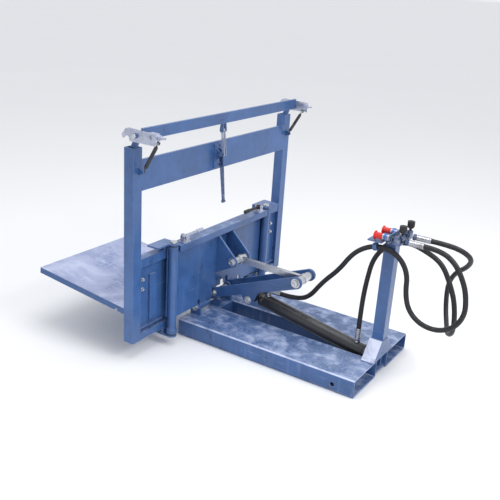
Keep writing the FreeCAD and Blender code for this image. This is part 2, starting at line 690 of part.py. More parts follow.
def hinge_knuckles():
    """Knuckles that carry the carriage on the hinge shaft."""
    web = box((HINGE[0], 0), KNUCKLE_Y, (HINGE[1], CARRIAGE_BOTTOM))
    knuckle = fuse(rod("y", HINGE, *KNUCKLE_Y, KNUCKLE_R), web)
    return pair(knuckle.cut(cross_bore(HINGE, SHAFT_R + RUN)))


def link_gusset():
    """Side plate that carries the link's front pin behind the carriage."""
    root_x = -CARRIAGE_PLATE
    shape = hull([(root_x - 1, GUSSET_ROOT_Z + 1, 1), (root_x - 1, CARRIAGE_TOP - 31, 1),
                  (-RAIL_REACH + 8, CARRIAGE_TOP - 32, 2), (*LINK_FRONT, GUSSET_EYE_R)], GUSSET_Y)
    return shape.cut(cross_bore(LINK_FRONT, PIN_R + RUN))


def link_anchor_stubs():
    """Ends of the link's front pin, fixed in the gussets."""
    washer = (GUSSET_Y[1], GUSSET_Y[1] + WASHER)
    stub = fuse(rod("y", LINK_FRONT, GUSSET_Y[0], washer[1], PIN_R),
                rod("y", LINK_FRONT, *washer, PIN_R + 7.5),
                rod("y", LINK_FRONT, washer[1], washer[1] + 10, PIN_R + 1.5))
    return pair(stub)


# ================================================================ mast
def upright():
    return square_tube((0, UPRIGHT), (UPRIGHT_INNER_Y, MAST_HALF), (MAST_BOTTOM, UPRIGHT_TOP),
                       UPRIGHT_WALL, "z")


def crossbar():
    return box((0, CROSSBAR_PLATE), (-UPRIGHT_INNER_Y, UPRIGHT_INNER_Y), CROSSBAR_Z)


def lower_frame():
    """Top rail over the full width, and a sill below each side panel."""
    x = (SLIDE, SLIDE + RAIL)
    top = square_tube(x, (-UPRIGHT_INNER_Y, UPRIGHT_INNER_Y), TOP_RAIL_Z, 3, "y")
    sill = square_tube(x, (SILL_INNER_Y, UPRIGHT_INNER_Y), (MAST_BOTTOM, MAST_BOTTOM + SILL_HEIGHT),
                       3, "y")
    return [top] + pair(sill)


def lower_panel():
    """Recessed sheet with folded stiffening ribs; its middle stops above the fork pockets."""
    x = (PANEL_X, PANEL_X + PANEL)
    sheet = box(x, (-UPRIGHT_INNER_Y, UPRIGHT_INNER_Y), (MAST_BOTTOM + SILL_HEIGHT, TOP_RAIL_Z[0]))
    sheet = sheet.cut(box(x, (-SILL_INNER_Y, SILL_INNER_Y), (0, PANEL_MID_BOTTOM)))
    rib = box((PANEL_X - 12, PANEL_X), (UPRIGHT_INNER_Y - 110, UPRIGHT_INNER_Y - 70),
              (MAST_BOTTOM + SILL_HEIGHT + 40, TOP_RAIL_Z[0] - 50))
    ledge = box((PANEL_X - 14, PANEL_X), (TUBE_Y + TUBE_R, UPRIGHT_INNER_Y),
                (MAST_BOTTOM + SILL_HEIGHT + 16, MAST_BOTTOM + SILL_HEIGHT + 20))
    return fuse(sheet, rib, mirrored(rib), ledge, mirrored(ledge))


def hinge_ears():
    """Ears of the mast above and below each hinge tube, on short risers."""
    tube_x = -CARRIAGE_PLATE - TUBE_R
    side = (TUBE_Y - TUBE_R - 3, TUBE_Y + TUBE_R + 3)
    front = SLIDE + RAIL
    ears = []
    top = CARRIAGE_TOP + 4
    low_riser = ((SLIDE, SLIDE + 12), side, (EAR_BOTTOM + EAR_PLATE, MAST_BOTTOM))
    high_riser = ((SLIDE, front), side, (TOP_RAIL_Z[1], top))
    for base, reach, riser in ((EAR_BOTTOM, side[1], low_riser), (top, 465.0, high_riser)):
        levels = (base, base + EAR_PLATE)
        ear = fuse(rod("z", (tube_x, TUBE_Y), *levels, TUBE_R + 3),
                   box((tube_x, front), side, levels),
                   box((SLIDE - 20, front), (side[0], reach), levels), box(*riser))
        ears += pair(ear.cut(rod("z", (tube_x, TUBE_Y), 0, UPRIGHT_TOP, HINGE_PIN_R + RUN)))
    return ears


def hinge_pins():
    """Headed pins through the ears and the hinge tubes."""
    at = (-CARRIAGE_PLATE - TUBE_R, TUBE_Y)
    head = CARRIAGE_TOP + 4 + EAR_PLATE
    pin = fuse(rod("z", at, EAR_BOTTOM - 4, head, HINGE_PIN_R), rod("z", at, head, head + 10, 14))
    return pair(pin)


def deck():
    """Half-width shelf with a folded skirt, and the angle that carries its root on the mast."""
    plate = box((0, DECK_LENGTH), (DECK_INNER_Y, MAST_HALF), (-DECK_SKIRT, 0))
    hollow = box((-1, DECK_LENGTH - 5), (DECK_INNER_Y + 5, MAST_HALF - 5),
                 (-DECK_SKIRT - 1, -DECK_PLATE))
    notch = box((34, 52), (MAST_HALF - 6, MAST_HALF + 1), (-DECK_SKIRT - 1, -18))
    shelf = plate.cut(hollow).cut(notch)
    shelf.rotate(Vec(0, 0, 0), AXIS["y"], -DECK_TILT)
    shelf.translate(Vec(UPRIGHT + GAP, 0, DECK_ROOT_Z))
    root = box((PANEL_X + PANEL, UPRIGHT), (DECK_INNER_Y, UPRIGHT_INNER_Y),
               (DECK_ROOT_Z - DECK_SKIRT, DECK_ROOT_Z))
    return [shelf, root]


def mast_lugs():
    """Pivot ears with their bolts on the uprights, and the anchors of the two springs."""
    foot = [(x, UPRIGHT_TOP, 0.0) for x in HOOK_EAR_FOOT_X]
    ear = hull([*foot, (*HOOK_PIVOT, HOOK_EAR_R)], HOOK_EAR_Y)
    bolt = fuse(rod("y", HOOK_PIVOT, HOOK_EAR_Y[0] - 8, HOOK_PLATE_Y[1] + 2, HOOK_BOLT_R),
                rod("y", HOOK_PIVOT, HOOK_PLATE_Y[1] + GAP, HOOK_PLATE_Y[1] + 8, 10),
                rod("y", HOOK_PIVOT, HOOK_EAR_Y[0] - 8, HOOK_EAR_Y[0], 10),
                rod("y", HOOK_PIVOT, HOOK_EAR_Y[1], HOOK_PLATE_Y[0] - GAP, 10))
    ear = ear.cut(cross_bore(HOOK_PIVOT, HOOK_BOLT_R))
    tab_y = (SPRING_Y + 6, SPRING_Y + 12)
    tab = fuse(hull([(*SPRING_FOOT, 9), (-1, SPRING_FOOT[1] - 12, 1), (-1, SPRING_FOOT[1] + 12, 1)],
                    tab_y),
               rod("y", SPRING_FOOT, SPRING_Y - 6, SPRING_Y + 6, SPRING_PIN_R))
    return pair(ear) + pair(bolt) + pair(tab)


# ================================================================ hook bar, springs and clamp
def hook_bar():
    """The bar across the top, with the clevis of the clamp's link."""
    bar = box(HOOK_BAR_X, (-HOOK_PLATE_Y[0], HOOK_PLATE_Y[0]), HOOK_BAR_Z)
    ears = []
    for side in (1, -1):
        y = sorted(CLAMP_Y + side * offset for offset in CLAMP_EAR_Y)
        ear = hull([(HOOK_BAR_X[0] + 1, HOOK_BAR_Z[0] + 12, 1), (*CLAMP_TOP, 10),
                    (HOOK_BAR_X[1] - 1, HOOK_BAR_Z[0] + 12, 1)], y)
        outer = CLAMP_Y + side * CLAMP_EAR_Y[1]
        bolt = rod("y", CLAMP_TOP, outer, outer + side * 4, 7)
        ears += [ear, bolt]
    return fuse(bar, *ears)


def hook_bracket():
    """End plate of the hook bar, with the claw in front and the spring pin behind."""
    pivot_x, pivot_z = HOOK_PIVOT
    rear = pivot_x + HOOK_OUTLINE[0][0]
    top = pivot_z + HOOK_OUTLINE[1][1]
    plate = outline([(pivot_x + x, pivot_z + z) for x, z in HOOK_OUTLINE], HOOK_PLATE_Y)
    lip = box((rear, rear + 38), (HOOK_PLATE_Y[0] - 22, HOOK_PLATE_Y[0]), (top - 6, top))
    pin = rod("y", SPRING_TOP, SPRING_Y - 8, HOOK_PLATE_Y[0], SPRING_PIN_R)
    bolt = hexagon("y", (rear + 29, pivot_z + 2), HOOK_PLATE_Y[1], HOOK_PLATE_Y[1] + 7, 16)
    tail_at = (SPRING_Y + 12, pivot_z + 6)
    tail = rod("x", tail_at, rear - 34, rear, 5)
    nut = hexagon("x", tail_at, rear - 14, rear, 17)
    seat = box((rear, rear + 6), (SPRING_Y, HOOK_PLATE_Y[0]), (pivot_z - 8, top - 6))
    plate = plate.cut(cross_bore(HOOK_PIVOT, HOOK_BOLT_R + RUN))
    return fuse(plate, lip, pin, bolt, tail, nut, seat)


def spring():
    """Tension spring between the hook bar's rear end and the upright, as a plain sleeve."""
    top = Vec(SPRING_TOP[0], SPRING_Y, SPRING_TOP[1])
    foot = Vec(SPRING_FOOT[0], SPRING_Y, SPRING_FOOT[1])
    line = foot - top
    length = line.Length
    line.normalize()
    loop_r = SPRING_PIN_R + GAP + SPRING_WIRE_R
    loops = [Part.makeTorus(loop_r, SPRING_WIRE_R, at, AXIS["y"]) for at in (top, foot)]
    start = loop_r + SPRING_WIRE_R + 2
    coil = Part.makeCylinder(SPRING_R, length - 2 * start, top + line * start, line)
    coil = coil.cut(Part.makeCylinder(SPRING_R - 3, length, top, line))
    shanks = []
    for at, way in ((top, line), (foot, line * -1)):
        disc_at = at + way * (start - 1)
        shanks.append(Part.makeCylinder(SPRING_R - 0.5, 3, disc_at, way))
        shanks.append(Part.makeCylinder(SPRING_WIRE_R, start - loop_r, at + way * loop_r, way))
    return fuse(coil, *loops, *shanks)


def clamp_bracket():
    """Bolted to the crossbar; two ears carry the handle's pivot."""
    plate = box((-6, 0), (CLAMP_Y - 24, CLAMP_Y + 24), (CROSSBAR_Z[0] + 8, CROSSBAR_Z[1] - 8))
    solids = [plate]
    for side in (1, -1):
        y = sorted(CLAMP_Y + side * offset for offset in CLAMP_EAR_Y)
        solids.append(hull([(*CLAMP_PIVOT, 11), (-5, CLAMP_PIVOT[1] - 26, 1),
                            (-5, CLAMP_PIVOT[1] + 26, 1)], y))
        for z in (CROSSBAR_Z[0] + 20, CROSSBAR_Z[1] - 20):
            solids.append(hexagon("x", (CLAMP_Y + side * 17, z), -12, -6, 10))
    solids.append(rod("y", CLAMP_PIVOT, CLAMP_Y - 18, CLAMP_Y + 18, CLAMP_PIN_R))
    return fuse(*solids)


def clamp_arm_end():
    """Pin between the clamp's short arm and its link."""
    angle = math.radians(CLAMP_ARM_ANGLE)
    return (CLAMP_PIVOT[0] - CLAMP_ARM * math.sin(angle), CLAMP_PIVOT[1] + CLAMP_ARM * math.cos(angle))


def clamp_handle():
    """The hand lever with its short arm and the pin that carries the link."""
    half = CLAMP_STRAP_Y[0] - GAP
    y = (CLAMP_Y - half, CLAMP_Y + half)
    arm = hull([(*CLAMP_PIVOT, 10), (*clamp_arm_end(), 7)], y)
    grip = hull([(*CLAMP_HANDLE_TIP, 6), (*CLAMP_PIVOT, 10)], y)
    foot = rod("y", CLAMP_HANDLE_TIP, CLAMP_Y - 8, CLAMP_Y + 8, 7)
    pin_end = CLAMP_STRAP_Y[1] + 1
    pin = rod("y", clamp_arm_end(), CLAMP_Y - pin_end, CLAMP_Y + pin_end, CLAMP_LINK_PIN_R)
    solid = fuse(arm, grip, foot, pin)
    return solid.cut(cross_bore(CLAMP_PIVOT, CLAMP_PIN_R + RUN))


def clamp_link():
    """Two straps from the handle's short arm to an eye in the hook bar's clevis."""
    end = clamp_arm_end()
    plates = []
    for side in (1, -1):
        y = sorted(CLAMP_Y + side * offset for offset in CLAMP_STRAP_Y)
        strap = hull([(*CLAMP_TOP, 7), (*end, 7)], y)
        plates.append(strap.cut(cross_bore(end, CLAMP_LINK_PIN_R + RUN)))
    half = CLAMP_EAR_Y[0] - GAP
    eye = rod("y", CLAMP_TOP, CLAMP_Y - half, CLAMP_Y + half, 6)
    return fuse(eye, *plates)


# ================================================================ latches
def latch_bracket():
    """A foot on the flange with two ears and the lever's pin."""
    base = box((LATCH_X - 17, LATCH_X + 17), (LATCH_Y - 22, LATCH_Y + 22),
               (CARRIAGE_TOP, CARRIAGE_TOP + 4))
    solids = [base]
    for side in (1, -1):
        x = [LATCH_X + side * offset for offset in LATCH_EAR_X]
        ear = fuse(rod("x", (LATCH_Y, LATCH_Z), *x, 11),
                   box(x, (LATCH_Y - 11, LATCH_Y + 11), (CARRIAGE_TOP + 4, LATCH_Z)))
        solids.append(ear)
    solids.append(rod("x", (LATCH_Y, LATCH_Z), LATCH_X - 20, LATCH_X + 20, LATCH_PIN_R))
    return fuse(*solids)


def latch_lever():
    """Hand lever that lies along the flange, with a round knob at its free end."""
    x = (LATCH_X - 8, LATCH_X + 8)
    tip = LATCH_Y - LATCH_REACH
    hub = rod("x", (LATCH_Y, LATCH_Z), *x, 12)
    bar = box((LATCH_X - 5, LATCH_X + 5), (tip + 20, LATCH_Y), (LATCH_Z - 4, LATCH_Z + 8))
    grip = rod("y", (LATCH_X, LATCH_Z + 2), tip, tip + 44, 9)
    solid = fuse(hub, bar, grip)
    return solid.cut(rod("x", (LATCH_Y, LATCH_Z), *x, LATCH_PIN_R + RUN))


# ================================================================ build
def build_fork_frame():
    save("left_fork_pocket", fork_pocket())
    save("right_fork_pocket", mirrored(fork_pocket()))
    save("cross_members", *cross_members())
    save("pivot_lugs", *pivot_lugs())
    save("cylinder_lugs", *cylinder_lugs())
    save("hinge_shaft", lateral_pin(HINGE, OUTER_LUG_Y[1] + 6, SHAFT_R, SHAFT_R + 4,
                                    OUTER_LUG_Y[1], SHAFT_R + 1, 4))
    save("lever_pivot_pin", lateral_pin(LEVER_PIVOT, LEVER_Y[1] + 8, PIN_R, PIN_R + 5.5,
                                        LEVER_Y[1], PIN_R + 0.5, 7))
    save("cylinder_base_pin", lateral_pin(CYLINDER_BASE, BASE_LUG_Y[1] + 4, PIN_R, PIN_R + 3.5,
                                          BASE_LUG_Y[1], PIN_R + 0.5, 4))
    save("rear_arch", rear_arch())
    save("post", post())


def build_lines():
    save("coupler_bracket", coupler_bracket())
    for name, y in (("left", LINE_Y), ("right", -LINE_Y)):
        save(f"{name}_coupler", coupler(y))
        save(f"{name}_flow_valve", *flow_valve(y))
        save(f"{name}_valve_knob", valve_knob(y))
        save(f"{name}_dust_cap", dust_cap(y))
    clips = []
    for name, points, run in zip(("gland_hose", "base_hose"), (GLAND_HOSE, BASE_HOSE), CLIP_RUNS):
        tube = hose(name, points)
        save(name, tube)
        clips.append(hose_clip(points, run, tube))
    save("hose_bracket", hose_shelf(), *clips)


def build_cylinder():
    tube, eye, gland = barrel()
    save("barrel_tube", tube)
    save("barrel_base_eye", eye)
    save("gland_nut", gland)
    save("base_port_fitting", *base_port_fitting())
    save("gland_port_fitting", *gland_port_fitting())
    shaft, piston, rod_eye = piston_rod()
    save("piston_rod", shaft, piston)
    save("rod_eye", rod_eye)


def build_linkage():
    save("left_lever_plate", lever_plate())
    save("right_lever_plate", mirrored(lever_plate()))
    save("link_pin", *link_pin())
    save("rod_pin_stubs", *rod_pin_stubs())
    save("link_bar", link_bar())
    save("link_bush", link_bush())


def build_carriage():
    save("carriage_plate", *carriage_plate())
    save("carriage_rail", carriage_rail())
    save("hinge_tubes", *hinge_tubes())
    save("hinge_knuckles", *hinge_knuckles())
    save("left_link_gusset", link_gusset())
    save("right_link_gusset", mirrored(link_gusset()))
    save("link_anchor_stubs", *link_anchor_stubs())
    save("latch_brackets", *pair(latch_bracket()))
    save("left_latch", latch_lever())
    save("right_latch", mirrored(latch_lever()))


def build_mast():
    save("left_upright", upright())
    save("right_upright", mirrored(upright()))
    save("crossbar", crossbar())
    save("lower_frame", *lower_frame())
    save("lower_panel", lower_panel())
    save("hinge_ears", *hinge_ears())
    save("hinge_pins", *hinge_pins())
    save("deck", *deck())
    save("mast_lugs", *mast_lugs())


def build_hook_bar():
    save("hook_bar", hook_bar())
    save("hook_brackets", *pair(hook_bracket()))
    save("hook_springs", *pair(spring()))
    save("clamp_bracket", clamp_bracket())
    save("clamp_handle", clamp_handle())
    save("clamp_link", clamp_link())


os.makedirs("parts", exist_ok=True)
build_fork_frame()
build_lines()
build_cylinder()
build_linkage()
build_carriage()
build_mast()
build_hook_bar()
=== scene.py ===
import math

import bmesh
import bpy
from mathutils import Matrix, Vector


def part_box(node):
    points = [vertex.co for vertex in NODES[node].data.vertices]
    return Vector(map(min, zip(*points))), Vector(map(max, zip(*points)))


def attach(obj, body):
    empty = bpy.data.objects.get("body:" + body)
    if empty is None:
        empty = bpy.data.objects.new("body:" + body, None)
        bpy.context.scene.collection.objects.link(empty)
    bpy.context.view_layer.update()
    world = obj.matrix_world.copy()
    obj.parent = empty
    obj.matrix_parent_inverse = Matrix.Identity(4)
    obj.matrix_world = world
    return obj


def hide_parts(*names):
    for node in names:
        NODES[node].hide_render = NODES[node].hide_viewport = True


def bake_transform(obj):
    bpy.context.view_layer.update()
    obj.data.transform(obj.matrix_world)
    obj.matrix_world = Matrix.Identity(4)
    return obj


bl_info = {
    "name": "Fork Box Tipper",
    "version": (1, 0, 0),
    "blender": (4, 5, 0),
    "location": "View3D > Sidebar > Tipper",
    "description": "Dresses a fork-mounted box tipper: paint, hoses, fittings and welds",
    "category": "Object",
}

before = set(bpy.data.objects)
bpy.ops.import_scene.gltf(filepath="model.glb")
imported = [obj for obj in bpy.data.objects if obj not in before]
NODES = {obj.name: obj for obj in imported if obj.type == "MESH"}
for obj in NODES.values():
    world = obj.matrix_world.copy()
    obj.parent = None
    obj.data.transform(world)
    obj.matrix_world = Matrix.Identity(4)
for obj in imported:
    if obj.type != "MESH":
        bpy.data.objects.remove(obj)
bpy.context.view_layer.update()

# ---------------------------------------------------------------- hose routes
# Control points of each hose, from its fitting on the cylinder to the coupler line, in metres.
GLAND_ROUTE = (
    (-0.361, 0, 0.217), (-0.431, 0, 0.217), (-0.508, 0.008, 0.246), (-0.568, 0.013, 0.338),
    (-0.643, 0.020, 0.419), (-0.701, 0.034, 0.511), (-0.765, 0.038, 0.561),
    (-0.838, 0.039, 0.578), (-0.908, 0.037, 0.551), (-0.951, 0.041, 0.490),
    (-0.954, 0.043, 0.408), (-0.976, 0.043, 0.339), (-1.032, 0.042, 0.293),
    (-1.106, 0.041, 0.286), (-1.170, 0.042, 0.322), (-1.202, 0.042, 0.389),
    (-1.192, 0.042, 0.468), (-1.172, 0.043, 0.522), (-1.134, 0.044, 0.583),
    (-1.071, 0.042, 0.620), (-1.001, 0.042, 0.620),
)
BASE_ROUTE = (
    (-0.757, 0, 0.172), (-0.757, 0, 0.240), (-0.756, -0.010, 0.330), (-0.759, -0.025, 0.408),
    (-0.766, -0.034, 0.472), (-0.791, -0.040, 0.526), (-0.843, -0.039, 0.574),
    (-0.914, -0.040, 0.593), (-0.986, -0.038, 0.575), (-1.056, -0.041, 0.541),
    (-1.098, -0.043, 0.471), (-1.132, -0.039, 0.395), (-1.147, -0.035, 0.308),
    (-1.135, -0.072, 0.237), (-1.100, -0.132, 0.205), (-1.074, -0.201, 0.208),
    (-1.046, -0.252, 0.254), (-1.035, -0.262, 0.322), (-1.042, -0.238, 0.392),
    (-1.074, -0.206, 0.456), (-1.128, -0.160, 0.506), (-1.155, -0.112, 0.559),
    (-1.130, -0.066, 0.600), (-1.073, -0.042, 0.620), (-1.001, -0.042, 0.620),
)

# ---------------------------------------------------------------- places on the frame
SIDES = (("left", 1), ("right", -1))
LEVER_PIVOT = Vector((-0.034, 0, 0.153))
LINK_REAR = Vector((-0.467, 0, 0.322))
LINK_FRONT = Vector((-0.125, 0, 0.328))
ROD_PIVOT = Vector((-0.228, 0, 0.171))
CYLINDER_BASE = Vector((-0.840, 0, 0.060))
CYLINDER_LINE = (ROD_PIVOT - CYLINDER_BASE).normalized()
LINE_Y = 0.042          # coupler lines, from the middle plane
LINE_Z = 0.620
VALVE_X = -0.8975       # middle of the flow valves
VALVE_REAR = -0.925
KNOB_X = -0.908
KNOB_FOOT = 0.655       # top of a knob's stem
GLAND_PORT = Vector((-0.298, 0, 0.217))
HOSE_RADIUS = 0.0105
SHELL_RADIUS = 0.0125   # crimped shells on the hose ends
PIN_RADIUS = 0.0125
WASHER = 0.004          # washers under the pin heads
PASS_LENGTH = 0.0058    # one scale of a weld bead
BEAD_STEP = 0.0016
BEAD_SIDES = 8
SPRING_Y = 0.560
SPRING_TOP = Vector((-0.088, 0, 0.950))
SPRING_FOOT = Vector((-0.016, 0, 0.826))
LATCH = Vector((-0.030, 0.300, 0.494))
LATCH_REACH = 0.130
LATCH_GRIP = 0.044      # length of the grip at the lever's end
SHARP = math.radians(32)
X = Vector((1, 0, 0))
Y = Vector((0, 1, 0))
Z = Vector((0, 0, 1))


# ================================================================ settings
def length(name, about, value):
    return bpy.props.FloatProperty(name=name, description=about, default=value, min=0.0,
                                   unit="LENGTH")


def colour(name, about, value):
    return bpy.props.FloatVectorProperty(name=name, description=about, default=value, size=3,
                                         min=0.0, max=1.0, subtype="COLOR")


def share(name, about, value):
    return bpy.props.FloatProperty(name=name, description=about, default=value, min=0.0, max=1.0,
                                   subtype="FACTOR")


class TIPPER_PG_paint(bpy.types.PropertyGroup):
    blue: colour("Blue enamel", "Colour of the sprayed steelwork", (0.036, 0.098, 0.262))
    # The pale colour shows rubbed paint and scuffed patches, and on the edges it is also a painted
    # highlight.
    pale: colour("Rubbed blue", "Colour of rubbed edges and scuffed patches", (0.36, 0.43, 0.68))
    deck: colour("Deck", "Colour of the scuffed shelf", (0.30, 0.34, 0.55))
    black: colour("Black enamel", "Colour of the cylinder", (0.014, 0.015, 0.018))
    red: colour("Dust caps", "Colour of the coupler caps", (0.62, 0.016, 0.012))
    # The edge share sets both rubbed paint and a painted highlight along the edges.
    wear: share("Edge wear", "How much pale steel shows on the edges", 0.55)
    scuff: share("Scuffing", "How mottled the upward faces are", 0.55)


class TIPPER_PG_hoses(bpy.types.PropertyGroup):
    radius: length("Hose radius", "Outer radius of both hydraulic hoses", HOSE_RADIUS)
    gland_length: length("Gland hose", "Length of the hose to the rod end", 1.53)
    base_length: length("Base hose", "Length of the hose to the base end", 1.78)


class TIPPER_PG_details(bpy.types.PropertyGroup):
    bead: length("Weld bead", "Radius of the fillet welds", 0.0032)
    spring_wire: length("Spring wire", "Radius of the spring wire", 0.0020)
    spring_radius: length("Spring radius", "Mean radius of the spring coils", 0.0060)
    edge: length("Edge rounding", "Rounding of the cut steel edges", 0.0012)


class TIPPER_PG_stage(bpy.types.PropertyGroup):
    floor: colour("Floor", "Colour of the studio floor", (0.86, 0.86, 0.87))
    floor_size: length("Floor size", "Side of the studio floor", 400.0)


# ================================================================ shader building
class Graph:
    """Adds shader nodes to one tree and joins them."""

    def __init__(self, tree):
        self.tree = tree
        self.count = 0

    def feed(self, socket, value):
        if isinstance(value, bpy.types.NodeSocket):
            self.tree.links.new(value, socket)
        elif value is not None:
            if socket.type == "RGBA" and len(value) == 3:
                value = (*value, 1.0)
            socket.default_value = value

    def add(self, kind, feeds=(), **settings):
        node = self.tree.nodes.new(kind)
        node.location = (200 * (self.count % 9), -260 * (self.count // 9))
        self.count += 1
        for name, value in settings.items():
            setattr(node, name, value)
        for name, value in dict(feeds).items():
            self.feed(node.inputs[name], value)
        return node

    def place(self):
        return self.add("ShaderNodeTexCoord").outputs["Object"]

    def stretched(self, place, scale):
        node = self.add("ShaderNodeMapping", {"Vector": place, "Scale": scale})
        return node.outputs["Vector"]

    def noise(self, place, scale, detail=4.0, roughness=0.55, warp=0.0):
        node = self.add("ShaderNodeTexNoise", {"Vector": place, "Scale": scale, "Detail": detail,
                                               "Roughness": roughness, "Distortion": warp})
        return node.outputs["Fac"]

    def span(self, value, low, high, out_low=0.0, out_high=1.0):
        node = self.add("ShaderNodeMapRange", {"Value": value, "From Min": low, "From Max": high,
                                               "To Min": out_low, "To Max": out_high})
        return node.outputs["Result"]

    def math(self, operation, *values):
        node = self.add("ShaderNodeMath", operation=operation)
        for socket, value in zip(node.inputs, values):
            self.feed(socket, value)
        return node.outputs[0]

    def times(self, *values):
        result = values[0]
        for value in values[1:]:
            result = self.math("MULTIPLY", result, value)
        return result

    def largest(self, *values):
        result = values[0]
        for value in values[1:]:
            result = self.math("MAXIMUM", result, value)
        return result

    def mix(self, factor, first, second, blend="MIX"):
        node = self.add("ShaderNodeMix", data_type="RGBA", blend_type=blend)
        self.feed(node.inputs[0], factor)
        self.feed(node.inputs[6], first)
        self.feed(node.inputs[7], second)
        return node.outputs[2]

    def toned(self, colour, tone):
        """The colour, darker or lighter by a tone that is 1 where it stays as it is."""
        grey = self.add("ShaderNodeCombineColor", {0: tone, 1: tone, 2: tone}).outputs[0]
        return self.mix(1.0, colour, grey, "MULTIPLY")

    def upward(self):
        normal = self.add("ShaderNodeTexCoord").outputs["Normal"]
        return self.add("ShaderNodeSeparateXYZ", {0: normal}).outputs["Z"]

    def facing_up(self, low=0.55, high=0.95):
        return self.span(self.upward(), low, high)

    def slant(self):
        """Nears 1 on a surface half-way between upright and level, as on a rounded top edge."""
        height = self.math("MAXIMUM", self.upward(), 0.0)
        level = self.math("SQRT", self.math("SUBTRACT", 1.0, self.times(height, height)))
        return self.times(2.0, height, level)

    def group(self, name, **feeds):
        return self.add("ShaderNodeGroup", feeds, node_tree=bpy.data.node_groups[name]).outputs


SURFACE = {"Colour": (0, 0, 0), "Roughness": 0.0, "Height": 0.0}    # what most effects put out


def effect(name, inputs, outputs=SURFACE):
    """A shader node group with named sockets; inputs and outputs map a name to its default."""
    tree = bpy.data.node_groups.new(name, "ShaderNodeTree")
    for direction, sockets in (("INPUT", inputs), ("OUTPUT", outputs)):
        for socket, value in sockets.items():
            kind = "NodeSocketColor" if isinstance(value, tuple) else "NodeSocketFloat"
            made = tree.interface.new_socket(socket, in_out=direction, socket_type=kind)
            if direction == "INPUT":
                made.default_value = (*value, 1.0) if isinstance(value, tuple) else value
    graph = Graph(tree)
    source = graph.add("NodeGroupInput").outputs
    target = graph.add("NodeGroupOutput").inputs
    return graph, source, target


def rubbed_and_highlit_edges_effect():
    """Mask of the outward and inward edges, broken up as rubbed paint is; the pale it lets through
    is rubbed paint and also a painted highlight on the edges.
    """
    graph, source, target = effect("Rubbed And Highlit Edges", {"Radius": 0.004, "Breaks": 55.0}, {"Mask": 0.0})
    rounded = graph.add("ShaderNodeBevel", {"Radius": source["Radius"]}, samples=6)
    flat = graph.add("ShaderNodeNewGeometry").outputs["Normal"]
    dot = graph.add("ShaderNodeVectorMath", {0: rounded.outputs["Normal"], 1: flat},
                    operation="DOT_PRODUCT").outputs["Value"]
    edge = graph.span(dot, 0.995, 0.80)
    breaks = graph.span(graph.noise(graph.place(), source["Breaks"], 5.0, 0.65), 0.38, 0.62)
    graph.feed(target["Mask"], graph.times(edge, breaks))


def enamel_effect():
    """Sprayed enamel: uneven tone, rubbed edges that also carry a painted highlight, mottled upward
    faces, a painted highlight on slanted faces, scratches and dust.
    """
    graph, source, target = effect(
        "Sprayed Enamel",
        {"Colour": (0.04, 0.12, 0.35), "Pale": (0.4, 0.5, 0.8), "Rubbing And Highlight": 0.5, "Scuff": 0.5,
         "Dust": 0.3, "Slope Highlight": 0.0})
    place = graph.place()
    up = graph.facing_up()
    large = graph.noise(place, 2.6, 3.0)
    medium = graph.noise(place, 15.0, 7.0, 0.62, 0.4)
    fine = graph.noise(place, 120.0, 4.0)
    tone = graph.span(graph.math("ADD", graph.times(large, 0.55), graph.times(medium, 0.45)),
                      0.34, 0.66, 0.74, 1.30)
    painted = graph.toned(source["Colour"], tone)
    blotch = graph.times(graph.span(medium, 0.46, 0.66), up, source["Scuff"])
    runs = graph.noise(graph.stretched(place, (14, 14, 1.4)), 3.0, 5.0, 0.6)
    runs = graph.times(graph.span(runs, 0.56, 0.80), 0.30, source["Scuff"])
    lines = graph.noise(graph.stretched(place, (1.5, 60, 60)), 3.0, 3.0)
    lines = graph.times(graph.span(lines, 0.66, 0.72), 0.55, source["Scuff"])
    cross = graph.noise(graph.stretched(place, (55, 2, 40)), 3.0, 3.0)
    cross = graph.times(graph.span(cross, 0.68, 0.73), 0.45, source["Scuff"])
    # Edge marks: rubbed paint and a painted highlight along the edges.
    edges = graph.times(graph.group("Rubbed And Highlit Edges")["Mask"], source["Rubbing And Highlight"])
    # Painted highlight: faces half-way between upright and level, as on rounded top edges and
    # sloped plates, turn pale as if lit from above.
    slant = graph.span(graph.slant(), 0.35, 0.80)
    slope_highlight = graph.times(slant, graph.span(medium, 0.30, 0.55, 0.35, 1.0), source["Slope Highlight"])
    # Pale marks: rubbed paint, scuffs and scratches, with the painted edge and slope highlights.
    bare = graph.largest(graph.times(blotch, 0.85), edges, runs, lines, cross, slope_highlight)
    rubbed = graph.mix(bare, painted, source["Pale"])
    dust = graph.times(graph.span(fine, 0.35, 0.70), graph.span(large, 0.35, 0.6), up,
                       source["Dust"])
    graph.feed(target["Colour"], graph.mix(dust, rubbed, (0.55, 0.57, 0.62)))
    rough = graph.math("ADD", graph.span(medium, 0.3, 0.7, 0.26, 0.40), graph.times(bare, 0.18))
    graph.feed(target["Roughness"], graph.math("ADD", rough, graph.times(dust, 0.35)))
    peel = graph.noise(place, 520.0, 2.0)
    height = graph.math("ADD", graph.times(peel, 0.35), graph.times(medium, 0.5))
    graph.feed(target["Height"], graph.math("SUBTRACT", height, graph.times(bare, 0.25)))


def metal_grain_effect():
    """Worked metal: fine drawn grain, stains and a slightly uneven polish."""
    graph, source, target = effect(
        "Metal Grain", {"Colour": (0.6, 0.6, 0.6), "Stain": (0.3, 0.27, 0.22), "Soiling": 0.3,
                        "Polish": 0.3, "Grain": 1.0})
    place = graph.place()
    drawn = graph.noise(graph.stretched(place, (40, 500, 500)), 2.0, 3.0)
    cloudy = graph.noise(place, 45.0, 6.0, 0.6)
    spots = graph.times(graph.span(cloudy, 0.52, 0.72), source["Soiling"])
    tone = graph.span(drawn, 0.3, 0.7, 0.86, 1.12)
    clean = graph.toned(source["Colour"], tone)
    graph.feed(target["Colour"], graph.mix(spots, clean, source["Stain"]))
    rough = graph.math("ADD", source["Polish"], graph.times(spots, 0.35))
    graph.feed(target["Roughness"], graph.math("ADD", rough, graph.span(drawn, 0.3, 0.7, 0, 0.1)))
    graph.feed(target["Height"], graph.times(drawn, source["Grain"]))


